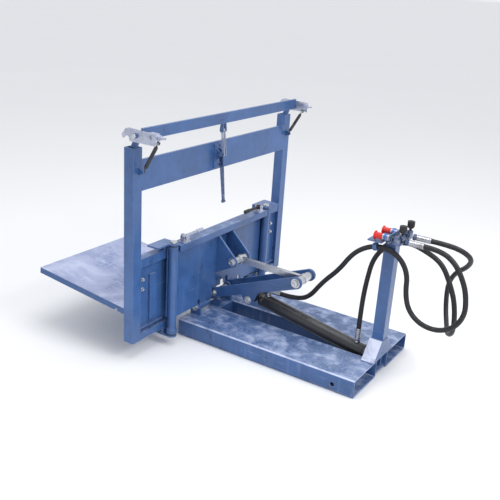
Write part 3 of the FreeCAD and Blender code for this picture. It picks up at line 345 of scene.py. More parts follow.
def moulded_effect():
    """Moulded rubber or plastic: fine grain, handling marks and dust in the upward faces."""
    graph, source, target = effect(
        "Moulded Grain", {"Colour": (0.02, 0.02, 0.02), "Scale": 900.0, "Dust": 0.2})
    place = graph.place()
    grain = graph.noise(place, source["Scale"], 2.0)
    marks = graph.noise(place, 60.0, 6.0, 0.65)
    dust = graph.times(graph.span(marks, 0.45, 0.75), graph.facing_up(0.0, 0.9), source["Dust"])
    graph.feed(target["Colour"], graph.mix(dust, source["Colour"], (0.30, 0.31, 0.34)))
    graph.feed(target["Roughness"], graph.span(marks, 0.3, 0.7, 0.38, 0.58))
    graph.feed(target["Height"], grain)


def spangle_effect():
    """Galvanised zinc: frosty crystals with a dull bloom."""
    graph, source, target = effect(
        "Zinc Spangle", {"Colour": (0.7, 0.7, 0.76), "Scale": 160.0, "Bloom": 0.4})
    place = graph.place()
    cells = graph.add("ShaderNodeTexVoronoi", {"Vector": place, "Scale": source["Scale"]})
    tint = graph.add("ShaderNodeSeparateColor", {0: cells.outputs["Color"]}).outputs[0]
    tone = graph.span(tint, 0.0, 1.0, 0.82, 1.10)
    bright = graph.toned(source["Colour"], tone)
    bloom = graph.times(graph.span(graph.noise(place, 35.0, 6.0, 0.6), 0.45, 0.7), source["Bloom"])
    graph.feed(target["Colour"], graph.mix(bloom, bright, (0.66, 0.69, 0.80)))
    graph.feed(target["Roughness"], graph.math("ADD", graph.span(tint, 0, 1, 0.28, 0.42),
                                               graph.times(bloom, 0.3)))
    graph.feed(target["Height"], tint)


def open_material(name):
    """A new material with the graph and the inputs of its shader."""
    material = bpy.data.materials.new(name)
    material.use_nodes = True
    shader = material.node_tree.nodes["Principled BSDF"]
    return material, Graph(material.node_tree), shader.inputs


def raise_relief(graph, inputs, height, strength, distance):
    relief = graph.add("ShaderNodeBump", {"Height": height, "Strength": strength,
                                          "Distance": distance})
    graph.feed(inputs["Normal"], relief.outputs["Normal"])


def finish(name, group, feeds, bump, **constants):
    """One material: an effect group feeds the shader, and plain values stay on its sockets."""
    _, graph, inputs = open_material(name)
    outputs = graph.group(group, **feeds)
    graph.feed(inputs["Base Color"], outputs["Colour"])
    graph.feed(inputs["Roughness"], outputs["Roughness"])
    raise_relief(graph, inputs, outputs["Height"], *bump)
    for socket, value in constants.items():
        inputs[socket.replace("_", " ")].default_value = value


def deck_finish(paint):
    """Shelf plate rubbed nearly bare, with long drag marks over the last of its paint."""
    _, graph, inputs = open_material("Scuffed deck")
    place = graph.place()
    cloud = graph.noise(place, 5.0, 7.0, 0.6, 0.6)
    drag = graph.noise(graph.stretched(place, (1.2, 45, 45)), 3.0, 5.0, 0.6)
    slant = graph.noise(graph.stretched(place, (30, 2.2, 30)), 3.0, 4.0, 0.6)
    up = graph.facing_up(0.6, 0.95)
    patches = graph.span(cloud, 0.34, 0.60)
    marks = graph.largest(graph.span(drag, 0.52, 0.70), graph.span(slant, 0.60, 0.74))
    rubbed = graph.largest(graph.times(patches, 0.85), graph.times(marks, 0.9))
    # Edge marks on the deck: rubbed paint and a painted highlight along the edges.
    edges = graph.group("Rubbed And Highlit Edges")["Mask"]
    bare = graph.largest(graph.times(rubbed, up), graph.times(edges, 0.8))
    under = graph.mix(graph.times(up, 0.62), tuple(paint.blue), tuple(paint.deck))
    plate = graph.mix(bare, under, (0.56, 0.60, 0.78))
    dark = graph.times(graph.span(graph.noise(place, 26.0, 8.0, 0.7, 1.0), 0.56, 0.74), 0.55)
    graph.feed(inputs["Base Color"], graph.mix(dark, plate, (0.13, 0.17, 0.34)))
    graph.feed(inputs["Metallic"], graph.times(bare, 0.35))
    graph.feed(inputs["Roughness"], graph.span(cloud, 0.3, 0.7, 0.32, 0.55))
    height = graph.math("ADD", graph.times(drag, 0.6), graph.times(cloud, 0.8))
    raise_relief(graph, inputs, height, 0.25, 0.0008)


def make_finishes(paint):
    for build in (rubbed_and_highlit_edges_effect, enamel_effect, metal_grain_effect, moulded_effect,
                  spangle_effect):
        build()
    blue = tuple(paint.blue)
    pale = tuple(paint.pale)
    finish("Blue enamel", "Sprayed Enamel",
           {"Colour": blue, "Pale": pale, "Rubbing And Highlight": paint.wear, "Scuff": 0.22, "Dust": 0.15},
           (0.22, 0.0006), Coat_Weight=0.25, Coat_Roughness=0.18)
    finish("Mottled enamel", "Sprayed Enamel",
           {"Colour": blue, "Pale": pale, "Rubbing And Highlight": paint.wear, "Scuff": paint.scuff, "Dust": 0.35},
           (0.25, 0.0007), Coat_Weight=0.15, Coat_Roughness=0.25)
    # Fork pockets: the bright pale and the slope highlight paint a highlight along the rounded top
    # edges, where they also stand for worn paint.
    finish("Pocket enamel", "Sprayed Enamel",
           {"Colour": blue, "Pale": (0.62, 0.68, 0.88), "Rubbing And Highlight": paint.wear, "Scuff": paint.scuff,
            "Dust": 0.3, "Slope Highlight": 0.85},
           (0.25, 0.0007), Coat_Weight=0.2, Coat_Roughness=0.2)
    # Rear arch: the full slope highlight, strong scuffing and bright pale paint a reflection on its
    # upward slopes; its edge marks are partly rubbed paint and partly painted highlight.
    finish("Arch enamel with painted reflection", "Sprayed Enamel",
           {"Colour": blue, "Pale": (0.66, 0.70, 0.86), "Rubbing And Highlight": 0.8, "Scuff": 0.7, "Dust": 0.4,
            "Slope Highlight": 1.0}, (0.25, 0.0007), Coat_Weight=0.15, Coat_Roughness=0.25)
    finish("Black enamel", "Sprayed Enamel",
           {"Colour": tuple(paint.black), "Pale": (0.20, 0.21, 0.23), "Rubbing And Highlight": 0.5, "Scuff": 0.12,
            "Dust": 0.12}, (0.18, 0.0005), Coat_Weight=0.2, Coat_Roughness=0.2)
    deck_finish(paint)
    finish("Ground steel", "Metal Grain",
           {"Colour": (0.62, 0.63, 0.66), "Soiling": 0.35, "Polish": 0.24}, (0.2, 0.0003),
           Metallic=1.0)
    finish("Plated rod", "Metal Grain",
           {"Colour": (0.78, 0.79, 0.81), "Soiling": 0.1, "Polish": 0.05, "Grain": 0.3},
           (0.05, 0.0002), Metallic=1.0)
    finish("Zinc fitting", "Metal Grain",
           {"Colour": (0.46, 0.47, 0.50), "Stain": (0.20, 0.18, 0.15), "Soiling": 0.6,
            "Polish": 0.24}, (0.2, 0.0003), Metallic=1.0)
    finish("Dark zinc", "Metal Grain",
           {"Colour": (0.10, 0.14, 0.26), "Stain": (0.42, 0.44, 0.50), "Soiling": 0.75,
            "Polish": 0.22}, (0.2, 0.0003), Metallic=0.9)
    finish("Blue sleeve", "Metal Grain",
           {"Colour": (0.13, 0.22, 0.50), "Stain": (0.5, 0.5, 0.55), "Soiling": 0.5,
            "Polish": 0.25}, (0.2, 0.0003), Metallic=0.9)
    finish("Spring wire", "Metal Grain",
           {"Colour": (0.085, 0.085, 0.095), "Stain": (0.16, 0.11, 0.07), "Soiling": 0.4,
            "Polish": 0.35}, (0.2, 0.0003), Metallic=0.8)
    finish("Galvanised", "Zinc Spangle", {"Colour": (0.46, 0.49, 0.60)}, (0.15, 0.0003),
           Metallic=0.75)
    finish("Hose cover", "Moulded Grain",
           {"Colour": (0.012, 0.012, 0.014), "Scale": 1300.0, "Dust": 0.18}, (0.35, 0.0004),
           Specular_IOR_Level=0.4)
    finish("Black grip", "Moulded Grain",
           {"Colour": (0.014, 0.014, 0.017), "Scale": 1100.0, "Dust": 0.12}, (0.3, 0.0003))
    finish("Red cap", "Moulded Grain",
           {"Colour": tuple(paint.red), "Scale": 1500.0, "Dust": 0.06}, (0.2, 0.0002),
           Coat_Weight=0.2)


# ================================================================ mesh building
def stand(origin, axis):
    """Matrix that puts the origin in place and stands local Z along an axis."""
    up = Vector(axis).normalized()
    side = Z.cross(up) if abs(up.z) < 0.9 else X.copy()
    side = (side - up * side.dot(up)).normalized()
    turn = Matrix((side, up.cross(side), up)).transposed()
    return Matrix.Translation(origin) @ turn.to_4x4()


def along(place, distance):
    """The same place moved along its own Z."""
    return place @ Matrix.Translation((0, 0, distance))


def lathe(bm, place, profile, sides=40):
    """Turns (radius, height) points about local Z."""
    rings = []
    for radius, height in profile:
        steps = 1 if radius < 1e-6 else sides
        rings.append([bm.verts.new(place @ Vector((radius * math.cos(math.tau * k / sides),
                                                   radius * math.sin(math.tau * k / sides),
                                                   height))) for k in range(steps)])
    for low, high in zip(rings, rings[1:]):
        for k in range(max(len(low), len(high))):
            corners = (low[k % len(low)], low[(k + 1) % len(low)],
                       high[(k + 1) % len(high)], high[k % len(high)])
            corners = list(dict.fromkeys(corners))
            if len(corners) > 2:
                bm.faces.new(corners)


def slab(bm, place, outline, low, high, soften=0.0006):
    """A plate with softened edges from an outline of local (x, y) points."""
    base = [bm.verts.new(place @ Vector((x, y, low))) for x, y in outline]
    face = bm.faces.new(base)
    grown = bmesh.ops.extrude_face_region(bm, geom=[face])["geom"]
    moved = [part for part in grown if isinstance(part, bmesh.types.BMVert)]
    bmesh.ops.translate(bm, verts=moved, vec=place.to_3x3() @ Vector((0, 0, high - low)))
    edges = list(dict.fromkeys(edge for vert in base + moved for edge in vert.link_edges))
    bmesh.ops.bevel(bm, geom=edges, offset=soften, segments=2, profile=0.5, affect="EDGES",
                    clamp_overlap=True)


def hexagon(across):
    corner = across / math.sqrt(3)
    return [(corner * math.cos(math.tau * k / 6), corner * math.sin(math.tau * k / 6))
            for k in range(6)]


def rectangle(width, height):
    return [(-width / 2, -height / 2), (width / 2, -height / 2), (width / 2, height / 2),
            (-width / 2, height / 2)]


def join_rings(bm, rings):
    """Faces between rings that have the same number of points."""
    for low, high in zip(rings, rings[1:]):
        for n, corner in enumerate(low):
            after = (n + 1) % len(low)
            bm.faces.new((corner, low[after], high[after], high[n]))


def sweep(bm, path, radius_at, sides):
    """A closed round bar along a path; radius_at gives the radius at the distance so far."""
    heading = (path[1] - path[0]).normalized()
    side = heading.orthogonal().normalized()
    rings = []
    travelled = 0.0
    for k, point in enumerate(path):
        if k:
            travelled += (point - path[k - 1]).length
        ahead = path[min(k + 1, len(path) - 1)] - path[max(k - 1, 0)]
        heading = ahead.normalized()
        side = (side - heading * side.dot(heading)).normalized()
        other = heading.cross(side)
        radius = radius_at(travelled)
        rings.append([bm.verts.new(point + (side * math.cos(math.tau * n / sides)
                                            + other * math.sin(math.tau * n / sides)) * radius)
                      for n in range(sides)])
    join_rings(bm, rings)
    bm.faces.new(rings[0][::-1])
    bm.faces.new(rings[-1])


def object_from(name, bm, material):
    bmesh.ops.recalc_face_normals(bm, faces=bm.faces)
    mesh = bpy.data.meshes.new(name)
    bm.to_mesh(mesh)
    bm.free()
    mesh.shade_smooth()
    mesh.set_sharp_from_angle(angle=SHARP)
    mesh.materials.append(bpy.data.materials[material])
    made = bpy.data.objects.new(name, mesh)
    bpy.context.scene.collection.objects.link(made)
    return made


def piece(name, bm, material, slot, body, *nodes):
    """Finishes a piece, lets it ride on a body and puts it in the place of CAD nodes."""
    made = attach(object_from(name, bm, material), body)
    if nodes:
        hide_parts(*nodes)
    return made


def scales(distance):
    """Swell of a weld bead over each of its passes."""
    return 0.93 + 0.11 * math.cos(math.tau * distance / PASS_LENGTH)


def bead(bm, start, end, radius):
    """A fillet weld: a straight bar with the scales of its passes and tapered ends."""
    start, end = Vector(start), Vector(end)
    total = (end - start).length
    steps = max(4, int(total / BEAD_STEP))
    path = [start.lerp(end, k / steps) for k in range(steps + 1)]

    def radius_at(done):
        taper = min(1.0, 0.45 + done / 0.006, 0.45 + max(0.0, total - done) / 0.006)
        return radius * taper * scales(done)

    sweep(bm, path, radius_at, BEAD_SIDES)


def foot_beads(bm, xs, ys, z, radius):
    """Welds on the four sides of an upright foot."""
    for y in ys:
        bead(bm, (xs[0], y, z), (xs[1], y, z), radius)
    for x in xs:
        bead(bm, (x, ys[0], z), (x, ys[1], z), radius)


def bead_lines(bm, lines, radius, sign=1):
    """Welds from a table of start, end and share of the full radius, mirrored if sign is -1."""
    for start, end, part in lines:
        bead(bm, (start[0], start[1] * sign, start[2]), (end[0], end[1] * sign, end[2]),
             radius * part)


def ring_bead(bm, place, ring_radius, radius):
    """A weld round a tube; its passes overlap like scales."""
    steps = int(math.tau * ring_radius / BEAD_STEP)
    rings = []
    for k in range(steps):
        turn = math.tau * k / steps
        size = radius * scales(turn * ring_radius)
        out = Vector((math.cos(turn), math.sin(turn), 0))
        ring = []
        for n in range(BEAD_SIDES):
            swing = math.tau * n / BEAD_SIDES
            spot = out * (ring_radius + size * math.cos(swing)) + Z * size * math.sin(swing)
            ring.append(bm.verts.new(place @ spot))
        rings.append(ring)
    join_rings(bm, rings + rings[:1])


def ferrule_profile(total, radius, hose):
    """A crimped hose shell: rolled lips with seven pressed grooves between them."""
    profile = [(0, 0), (hose - 0.0005, 0), (radius - 0.0012, 0.0002), (radius, 0.0016)]
    grooves = 7
    pitch = (total - 0.010) / grooves
    for k in range(grooves):
        start = 0.005 + pitch * k
        profile += [(radius, start), (radius - 0.0011, start + 0.22 * pitch),
                    (radius - 0.0011, start + 0.60 * pitch), (radius, start + 0.80 * pitch)]
    return profile + [(radius, total - 0.0016), (radius - 0.0016, total), (0, total)]


def nut(bm, place, across, height, washer=0.0):
    """A hexagon nut or bolt head, with a round washer under it if washer is its radius."""
    start = 0.0
    if washer:
        start = 0.0016
        lathe(bm, place, [(0, 0), (washer - 0.0003, 0), (washer, 0.0003), (washer, 0.0013),
                          (washer - 0.0003, start), (0, start)], 28)
    top = start + height
    slab(bm, place, hexagon(across), start, top, 0.0007)
    thread = across * 0.30
    lathe(bm, place, [(0, top - 0.0002), (thread, top - 0.0002), (thread, top + 0.0012),
                      (thread - 0.0006, top + 0.0018), (0, top + 0.0018)], 20)


# ================================================================ pieces
def hose_line(name, route):
    """Points along the smooth line that has the route's points as its control points."""
    curve = bpy.data.curves.new(name, "CURVE")
    curve.dimensions = "3D"
    spline = curve.splines.new("NURBS")
    spline.points.add(len(route) - 1)
    for point, spot in zip(spline.points, route):
        point.co = (*spot, 1.0)
    spline.order_u = 3
    spline.use_endpoint_u = True
    spline.resolution_u = 14
    holder = bpy.data.objects.new(name, curve)
    bpy.context.scene.collection.objects.link(holder)
    bpy.context.view_layer.update()
    mesh = bpy.data.meshes.new_from_object(holder)
    path = [vert.co.copy() for vert in mesh.vertices]
    bpy.data.objects.remove(holder)
    bpy.data.curves.remove(curve)
    bpy.data.meshes.remove(mesh)
    return path


def make_hose(name, route, radius, node):
    """A hydraulic hose along its route, from its fitting at one end to its clip at the other."""
    path = hose_line(f"{name}_line", route)
    bm = bmesh.new()
    sweep(bm, path, lambda done: radius, 20)
    made = object_from(name, bm, "Hose cover")
    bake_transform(made)
    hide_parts(node)


def make_port_fittings():
    """Welded boss, hexagon and crimped shell of the base hose, and the elbow at the gland."""
    low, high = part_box("base_port_fitting")
    place = stand(Vector(((low.x + high.x) / 2, 0, low.z)), Z)
    tall = high.z - low.z
    shell = 0.044
    boss = tall - shell - 0.014
    bm = bmesh.new()
    lathe(bm, place, [(0, 0.002), (0.013, 0.002), (0.013, boss - 0.002), (0.0118, boss),
                      (0, boss)], 36)
    slab(bm, place, hexagon(0.022), boss, tall - shell, 0.0008)
    lathe(bm, along(place, tall - shell), ferrule_profile(shell, SHELL_RADIUS, HOSE_RADIUS), 36)
    piece("base_port_shell", bm, "Zinc fitting", "zinc_fitting", "barrel", "base_port_fitting")

    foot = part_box("gland_port_fitting")[0].z
    place = stand(Vector((GLAND_PORT.x, 0, foot)), Z)
    rise = GLAND_PORT.z - foot
    bm = bmesh.new()
    lathe(bm, place, [(0, 0.002), (0.012, 0.002), (0.012, rise - 0.023), (0.010, rise - 0.021),
                      (0, rise - 0.021)], 36)
    slab(bm, place, hexagon(0.022), rise - 0.021, rise - 0.011, 0.0008)
    lathe(bm, place, [(0, rise - 0.012), (0.0092, rise - 0.012), (0.0110, rise - 0.009),
                      (0.0110, rise + 0.006), (0.0085, rise + 0.0108), (0, rise + 0.012)], 36)
    back = stand(GLAND_PORT, -X)
    lathe(bm, back, [(0, 0), (0.009, 0), (0.009, 0.010), (0.0105, 0.011), (0.0105, 0.0155),
                     (0, 0.0155)], 32)
    lathe(bm, along(back, 0.016), ferrule_profile(0.047, SHELL_RADIUS, HOSE_RADIUS), 36)
    piece("gland_port_elbow", bm, "Zinc fitting", "zinc_fitting", "barrel", "gland_port_fitting")


def make_coupler(side, y):
    """Coupler with its flats and collar, and the knurled sleeve that slides on it."""
    low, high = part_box(f"{side}_coupler")
    place = stand(Vector((low.x, y, LINE_Z)), X)
    total = high.x - low.x
    bm = bmesh.new()
    lathe(bm, place, [(0, 0), (0.0125, 0), (0.013, 0.0006), (0.013, 0.011), (0.0142, 0.0125),
                      (0.0150, 0.0135), (0.0150, 0.019), (0.0143, 0.0195), (0.0143, 0.0208),
                      (0.0150, 0.0213), (0.0150, 0.0408), (0.0138, 0.042), (0.0105, 0.043),
                      (0.0105, total - 0.001), (0.0095, total), (0, total)], 40)
    slab(bm, place, hexagon(0.030), 0.0082, 0.0130, 0.0009)
    piece(f"{side}_coupler_body", bm, "Zinc fitting", "anodised", "base", f"{side}_coupler")
    outer, groove, inner = 0.0170, 0.0163, 0.0152
    knurl = [(inner, 0.021), (groove, 0.0213), (outer, 0.0222), (outer, 0.0240)]
    for k in range(4):
        at = 0.0248 + 0.0022 * k
        knurl += [(groove, at), (groove, at + 0.0007), (outer, at + 0.0011), (outer, at + 0.0016)]
    knurl += [(outer, 0.0350), (0.0160, 0.0360), (inner, 0.0362), (inner, 0.021)]
    bm = bmesh.new()
    lathe(bm, place, knurl, 48)
    piece(f"{side}_coupler_sleeve", bm, "Blue sleeve", "anodised", "base")


def make_valve(side, sign, y):
    """Flow valve block with its plug, neck and adapter, and the crimped shell behind it."""
    bm = bmesh.new()
    slab(bm, stand(Vector((VALVE_X, y, LINE_Z)), Z), rectangle(0.0300, 0.0550), -0.016, 0.016,
         0.0022)
    lathe(bm, stand(Vector((VALVE_X, y + sign * 0.0150, LINE_Z - 0.002)), Y * sign),
          [(0, -0.001), (0.0072, -0.001), (0.0072, 0.0006), (0.0062, 0.0012),
           (0.0040, 0.0012), (0.0036, 0.0004), (0, 0.0004)], 28)
    lathe(bm, stand(Vector((KNOB_X, y, LINE_Z + 0.015)), Z),
          [(0.0053, 0), (0.011, 0), (0.011, 0.006), (0.0102, 0.009), (0.0053, 0.009),
           (0.0053, 0)], 32)
    rear = stand(Vector((VALVE_REAR, y, LINE_Z)), -X)
    slab(bm, rear, hexagon(0.024), 0, 0.0108, 0.0009)
    lathe(bm, rear, [(0, 0.010), (0.010, 0.0105), (0.010, 0.0155), (0, 0.0155)], 32)
    piece(f"{side}_valve_block", bm, "Dark zinc", "zinc_fitting", "base", f"{side}_flow_valve")
    bm = bmesh.new()
    lathe(bm, along(rear, 0.015), ferrule_profile(0.061, SHELL_RADIUS, HOSE_RADIUS), 36)
    piece(f"{side}_line_shell", bm, "Zinc fitting", "zinc_fitting", "base")


def make_knob(side, y):
    """Hand knob with scalloped rim, dished top and plain stem."""
    low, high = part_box(f"{side}_valve_knob")
    knob = stand(Vector((KNOB_X, y, 0)), Z)
    rim, scallop, teeth, points = 0.0150, 0.0012, 14, 8
    outline = []
    for k in range(teeth * points):
        turn = math.tau * k / (teeth * points)
        reach = rim - scallop * max(0.0, math.cos(turn * teeth)) ** 2
        outline.append((reach * math.cos(turn), reach * math.sin(turn)))
    bm = bmesh.new()
    lathe(bm, knob, [(0, low.z), (0.005, low.z), (0.005, KNOB_FOOT), (0, KNOB_FOOT)], 24)
    top = high.z - 0.0008
    slab(bm, knob, outline, KNOB_FOOT + 0.005, top, 0.0008)
    lathe(bm, knob, [(0, KNOB_FOOT - 0.001), (0.0105, KNOB_FOOT - 0.001),
                     (0.0132, KNOB_FOOT + 0.0055), (0, KNOB_FOOT + 0.0055)], 40)
    lathe(bm, knob, [(0.0100, high.z - 0.0012), (0.0095, high.z), (0.0070, high.z),
                     (0.0062, top), (0, top)], 40)
    piece(f"{side}_knob_grip", bm, "Black grip", "black_plastic", f"{side}_valve_knob",
          f"{side}_valve_knob")


def make_cap(side, y):
    """Soft dust cap: a grooved cup with a pull flange at its front."""
    low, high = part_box(f"{side}_dust_cap")
    deep = high.x - low.x
    bore, cup, flange, floor = 0.0106, 0.0130, 0.0180, 0.028
    shell = [(bore, 0), (cup, 0), (0.0136, 0.0010), (0.0136, 0.0030), (cup, 0.0040)]
    for k in range(4):
        at = 0.0075 + 0.0052 * k
        shell += [(cup, at), (0.0124, at + 0.0012), (cup, at + 0.0024)]
    shell += [(cup, deep - 0.0062), (0.0172, deep - 0.0050), (flange, deep - 0.0040),
              (flange, deep - 0.0012), (0.0170, deep), (0.0095, deep), (0.0085, deep - 0.0016),
              (0, deep - 0.0016), (0, floor), (bore, floor), (bore, 0)]
    bm = bmesh.new()
    lathe(bm, stand(Vector((low.x, y, LINE_Z)), X), shell, 48)
    piece(f"{side}_cap_shell", bm, "Red cap", "red_cap", f"{side}_dust_cap", f"{side}_dust_cap")


def make_coupler_lines():
    """Couplers, flow valves, knobs and dust caps of both hydraulic lines."""
    for side, sign in SIDES:
        y = sign * LINE_Y
        make_coupler(side, y)
        make_valve(side, sign, y)
        make_knob(side, y)
        make_cap(side, y)


def pin_profile(washer, seat, head, thick):
    """Half of a cross pin, from its middle to its end: shaft, washer, head and centre mark."""
    under = seat + WASHER
    top = under + thick
    return [(PIN_RADIUS, 0), (PIN_RADIUS, seat + 0.0003), (washer - 0.0004, seat + 0.0003),
            (washer, seat + 0.0007), (washer, under - 0.0006), (washer - 0.0006, under),
            (head, under), (head, top - 0.0018), (head - 0.0018, top),
            (PIN_RADIUS * 0.45, top), (PIN_RADIUS * 0.32, top - 0.0014), (0, top - 0.0014)]


def make_pins():
    """Cross pins of the linkage with their washers, heads and grease nipples."""
    pins = (("lever_pivot_bolt", "lever_pivot_pin", LEVER_PIVOT, "base",
             (0.018, 0.068, 0.013, 0.007)),
            ("link_rear_bolt", "link_pin", LINK_REAR, "lever", (0.022, 0.0677, 0.015, 0.012)))
    for name, node, spot, body, sizes in pins:
        bm = bmesh.new()
        profile = pin_profile(*sizes)
        lathe(bm, stand(spot, Y), [(r, -h) for r, h in profile[::-1]] + profile, 40)
        top = sizes[1] + WASHER + sizes[3]
        lathe(bm, stand(spot + Y * (top - 0.0016), Y),
              [(0, 0), (0.0030, 0), (0.0030, 0.0030), (0.0018, 0.0036), (0.0018, 0.0052),
               (0.0026, 0.0062), (0.0018, 0.0078), (0, 0.0082)], 20)
        if node == "link_pin":
            bore, collar, wide = PIN_RADIUS + 0.0001, 0.019, 0.0417
            for sign in (1, -1):
                lathe(bm, stand(spot + Y * sign * 0.0143, Y * sign),
                      [(bore, 0), (collar - 0.0005, 0), (collar, 0.0006), (collar, wide - 0.0006),
                       (collar - 0.0005, wide), (bore, wide), (bore, 0)], 36)
        piece(name, bm, "Ground steel", "bright_steel", body, node)
    stubs = (("rod_pin_ends", "rod_pin_stubs", ROD_PIVOT, "lever", 0.056, 0.068, 0.019),
             ("link_front_ends", "link_anchor_stubs", LINK_FRONT, "carriage", 0.050, 0.060, 0.020))
    head, mark = 0.014, 0.0042
    for name, node, spot, body, inner, seat, washer in stubs:
        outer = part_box(node)[1].y
        under = seat + WASHER
        bm = bmesh.new()
        for sign in (1, -1):
            lathe(bm, stand(spot, Y * sign),
                  [(0, inner), (PIN_RADIUS, inner), (PIN_RADIUS, seat), (washer - 0.0005, seat),
                   (washer, seat + 0.0005), (washer, under - 0.0006), (washer - 0.0006, under),
                   (head, under), (head, outer - 0.0016), (head - 0.0016, outer),
                   (mark + 0.0014, outer), (mark, outer - 0.0016), (0, outer - 0.0016)], 36)
        piece(name, bm, "Ground steel", "bright_steel", body, node)


def make_springs(details):
    """Wound tension springs between the hook bar's tail and the uprights."""
    wire = details.spring_wire
    loop = 0.0063
    hook_steps = 20
    coil_steps = 14
    hook = [math.radians(-150 + 300 * k / hook_steps) for k in range(hook_steps + 1)]
    for side, sign in SIDES:
        shift = Y * SPRING_Y * sign
        top, foot = SPRING_TOP + shift, SPRING_FOOT + shift
        line = (foot - top).normalized()
        across = line.cross(Y).normalized()
        total = (foot - top).length
        lead = loop + wire + 0.004
        path = [top - line * loop * math.cos(turn) + across * loop * math.sin(turn)
                for turn in hook[:-3]]
        turns = int((total - 2 * lead) / (2.12 * wire))
        steps = turns * coil_steps
        for k in range(steps + 1):
            done = k / steps
            swing = math.tau * turns * done
            swell = min(1.0, 12 * done, 12 * (1 - done))
            reach = details.spring_radius * max(0.15, swell)
            path.append(top + line * (lead + (total - 2 * lead) * done)
                        + (across * math.cos(swing) + Y * math.sin(swing)) * reach)
        path += [foot + line * loop * math.cos(turn) + across * loop * math.sin(turn)
                 for turn in hook[3:]]
        bm = bmesh.new()
        sweep(bm, path, lambda done: wire, 8)
        made = object_from(f"{side}_hook_spring", bm, "Spring wire")
        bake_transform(made)
        if side == "left":
            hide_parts("hook_springs")


def make_latches():
    """Hand latches on the top flange, with turned hubs and grips."""
    bore, hub, wide = 0.0042, 0.012, 0.016
    grip_start = LATCH_REACH - LATCH_GRIP
    grip = [(0, grip_start), (0.0070, grip_start), (0.0086, grip_start + 0.002)]
    for k in range(5):
        at = grip_start + 0.006 + 0.006 * k
        grip += [(0.0090, at), (0.0080, at + 0.0012), (0.0080, at + 0.0022), (0.0090, at + 0.0034)]
    grip += [(0.0090, LATCH_REACH - 0.004), (0.0066, LATCH_REACH - 0.0008), (0, LATCH_REACH)]
    looks = {"left": ("Galvanised", "pale_zinc"), "right": ("Black grip", "black_plastic")}
    for side, sign in SIDES:
        spot = Vector((LATCH.x, LATCH.y * sign, LATCH.z))
        bm = bmesh.new()
        lathe(bm, stand(spot - X * wide / 2, X),
              [(bore, 0), (hub - 0.0008, 0), (hub, 0.0008), (hub, wide - 0.0008),
               (hub - 0.0008, wide), (bore, wide), (bore, 0)], 36)
        bar = stand(spot + Z * 0.002, -Y * sign)
        slab(bm, bar, rectangle(0.010, 0.012), 0.006, grip_start + 0.004, 0.0018)
        lathe(bm, bar, grip, 32)
        piece(f"{side}_latch_lever", bm, *looks[side], f"{side}_latch", f"{side}_latch")


def make_fasteners():
    """Nuts of the hook bar's pivots, screws of the coupler bracket and studs of the panel."""
    groups = (("pivot_bolt_nuts", "Ground steel", "bright_steel", "carriage"),
              ("coupler_angle_screws", "Zinc fitting", "zinc_fitting", "base"),
              ("panel_studs", "Ground steel", "bright_steel", "carriage"))
    for name, material, slot, body in groups:
        bm = bmesh.new()
        for sign in (1, -1):
            if name == "pivot_bolt_nuts":
                nut(bm, stand(Vector((-0.003, 0.6003 * sign, 0.970)), Y * sign), 0.017, 0.006)
            elif name == "coupler_angle_screws":
                for x in (-0.846, -0.880):
                    nut(bm, stand(Vector((x, 0.016 * sign, 0.586)), Z), 0.010, 0.0045, 0.0075)
            else:
                for z in (0.30, 0.345):
                    nut(bm, stand(Vector((0.022, 0.515 * sign, z)), -X), 0.013, 0.006, 0.010)
        piece(name, bm, material, slot, body)


def make_gap_sheet():
    """Thin sheet between the carriage plate and the mast that closes the plate's notch."""
    low, slot_top, high, edge = 0.153, 0.176, 0.263, 0.098
    slot = (0.036, 0.056)       # lets an inner pivot lug through
    half_thick = 0.0002
    lower = [(-edge, low), (-slot[1], low), (-slot[1], slot_top), (-slot[0], slot_top),
             (-slot[0], low)]
    outline = lower + [(-y, z) for y, z in reversed(lower)] + [(edge, high), (-edge, high)]
    bm = bmesh.new()
    slab(bm, stand(Vector((0.0005, 0, 0)), X), outline, -half_thick, half_thick, half_thick / 4)
    piece("gap_sheet", bm, "Blue enamel", "blue_paint", "carriage")


def make_cylinder_trim():
    """Weld at the barrel's end cap, the gland's lock ring and wrench slots."""
    bm = bmesh.new()
    ring_bead(bm, stand(CYLINDER_BASE + CYLINDER_LINE * 0.050, CYLINDER_LINE), 0.0325, 0.0028)
    piece("barrel_cap_weld", bm, "Black enamel", "black_paint", "barrel")
    bm = bmesh.new()
    end = (ROD_PIVOT - CYLINDER_BASE).length - 0.032
    place = stand(CYLINDER_BASE + CYLINDER_LINE * end, CYLINDER_LINE)
    lathe(bm, place, [(0.0158, -0.001), (0.0290, -0.001), (0.0290, 0.0006), (0.0275, 0.0014),
                      (0.0190, 0.0014), (0.0180, 0.0022), (0.0158, 0.0022), (0.0158, -0.001)], 48)
    for k in range(4):
        turn = math.tau * (k + 0.5) / 4
        spot = place @ Vector((0.0235 * math.cos(turn), 0.0235 * math.sin(turn), 0.0012))
        lathe(bm, stand(spot, CYLINDER_LINE), [(0, 0), (0.0026, 0), (0.0026, 0.0008),
                                               (0.0020, 0.0012), (0, 0.0004)], 18)
    piece("gland_ring", bm, "Ground steel", "bright_steel", "barrel")


# Weld lines, each with its start, its end and its share of the full bead. They lie a little outside
# the steel's faces. A side line stands on both sides of the middle plane.
SLIM = 0.75             # beads beside the lugs, which pass through the carriage with 3 mm to spare
LUG_FEET = (((-0.062, 0.004), (0.040, 0.052)), ((-0.050, 0.006), (0.180, 0.192)))
FRAME_SIDE_LINES = (
    ((-0.070, 0.0553, 0.076), (0.010, 0.0553, 0.076), 1.0),  # front tie to pocket
    ((-0.875, 0.0553, 0.0165), (-0.800, 0.0553, 0.0165), 1.0),  # rear tie to pocket
    ((-0.881, 0.098, 0.0802), (-0.823, 0.098, 0.0802), 1.0),  # bridge to pocket
    ((-0.823, 0.098, 0.0802), (-0.823, 0.091, 0.0802), 1.0),
    ((-0.866, 0.022, 0.0162), (-0.814, 0.022, 0.0162), 0.8),  # cylinder lugs
    ((-0.866, 0.034, 0.0162), (-0.814, 0.034, 0.0162), 0.8),
)
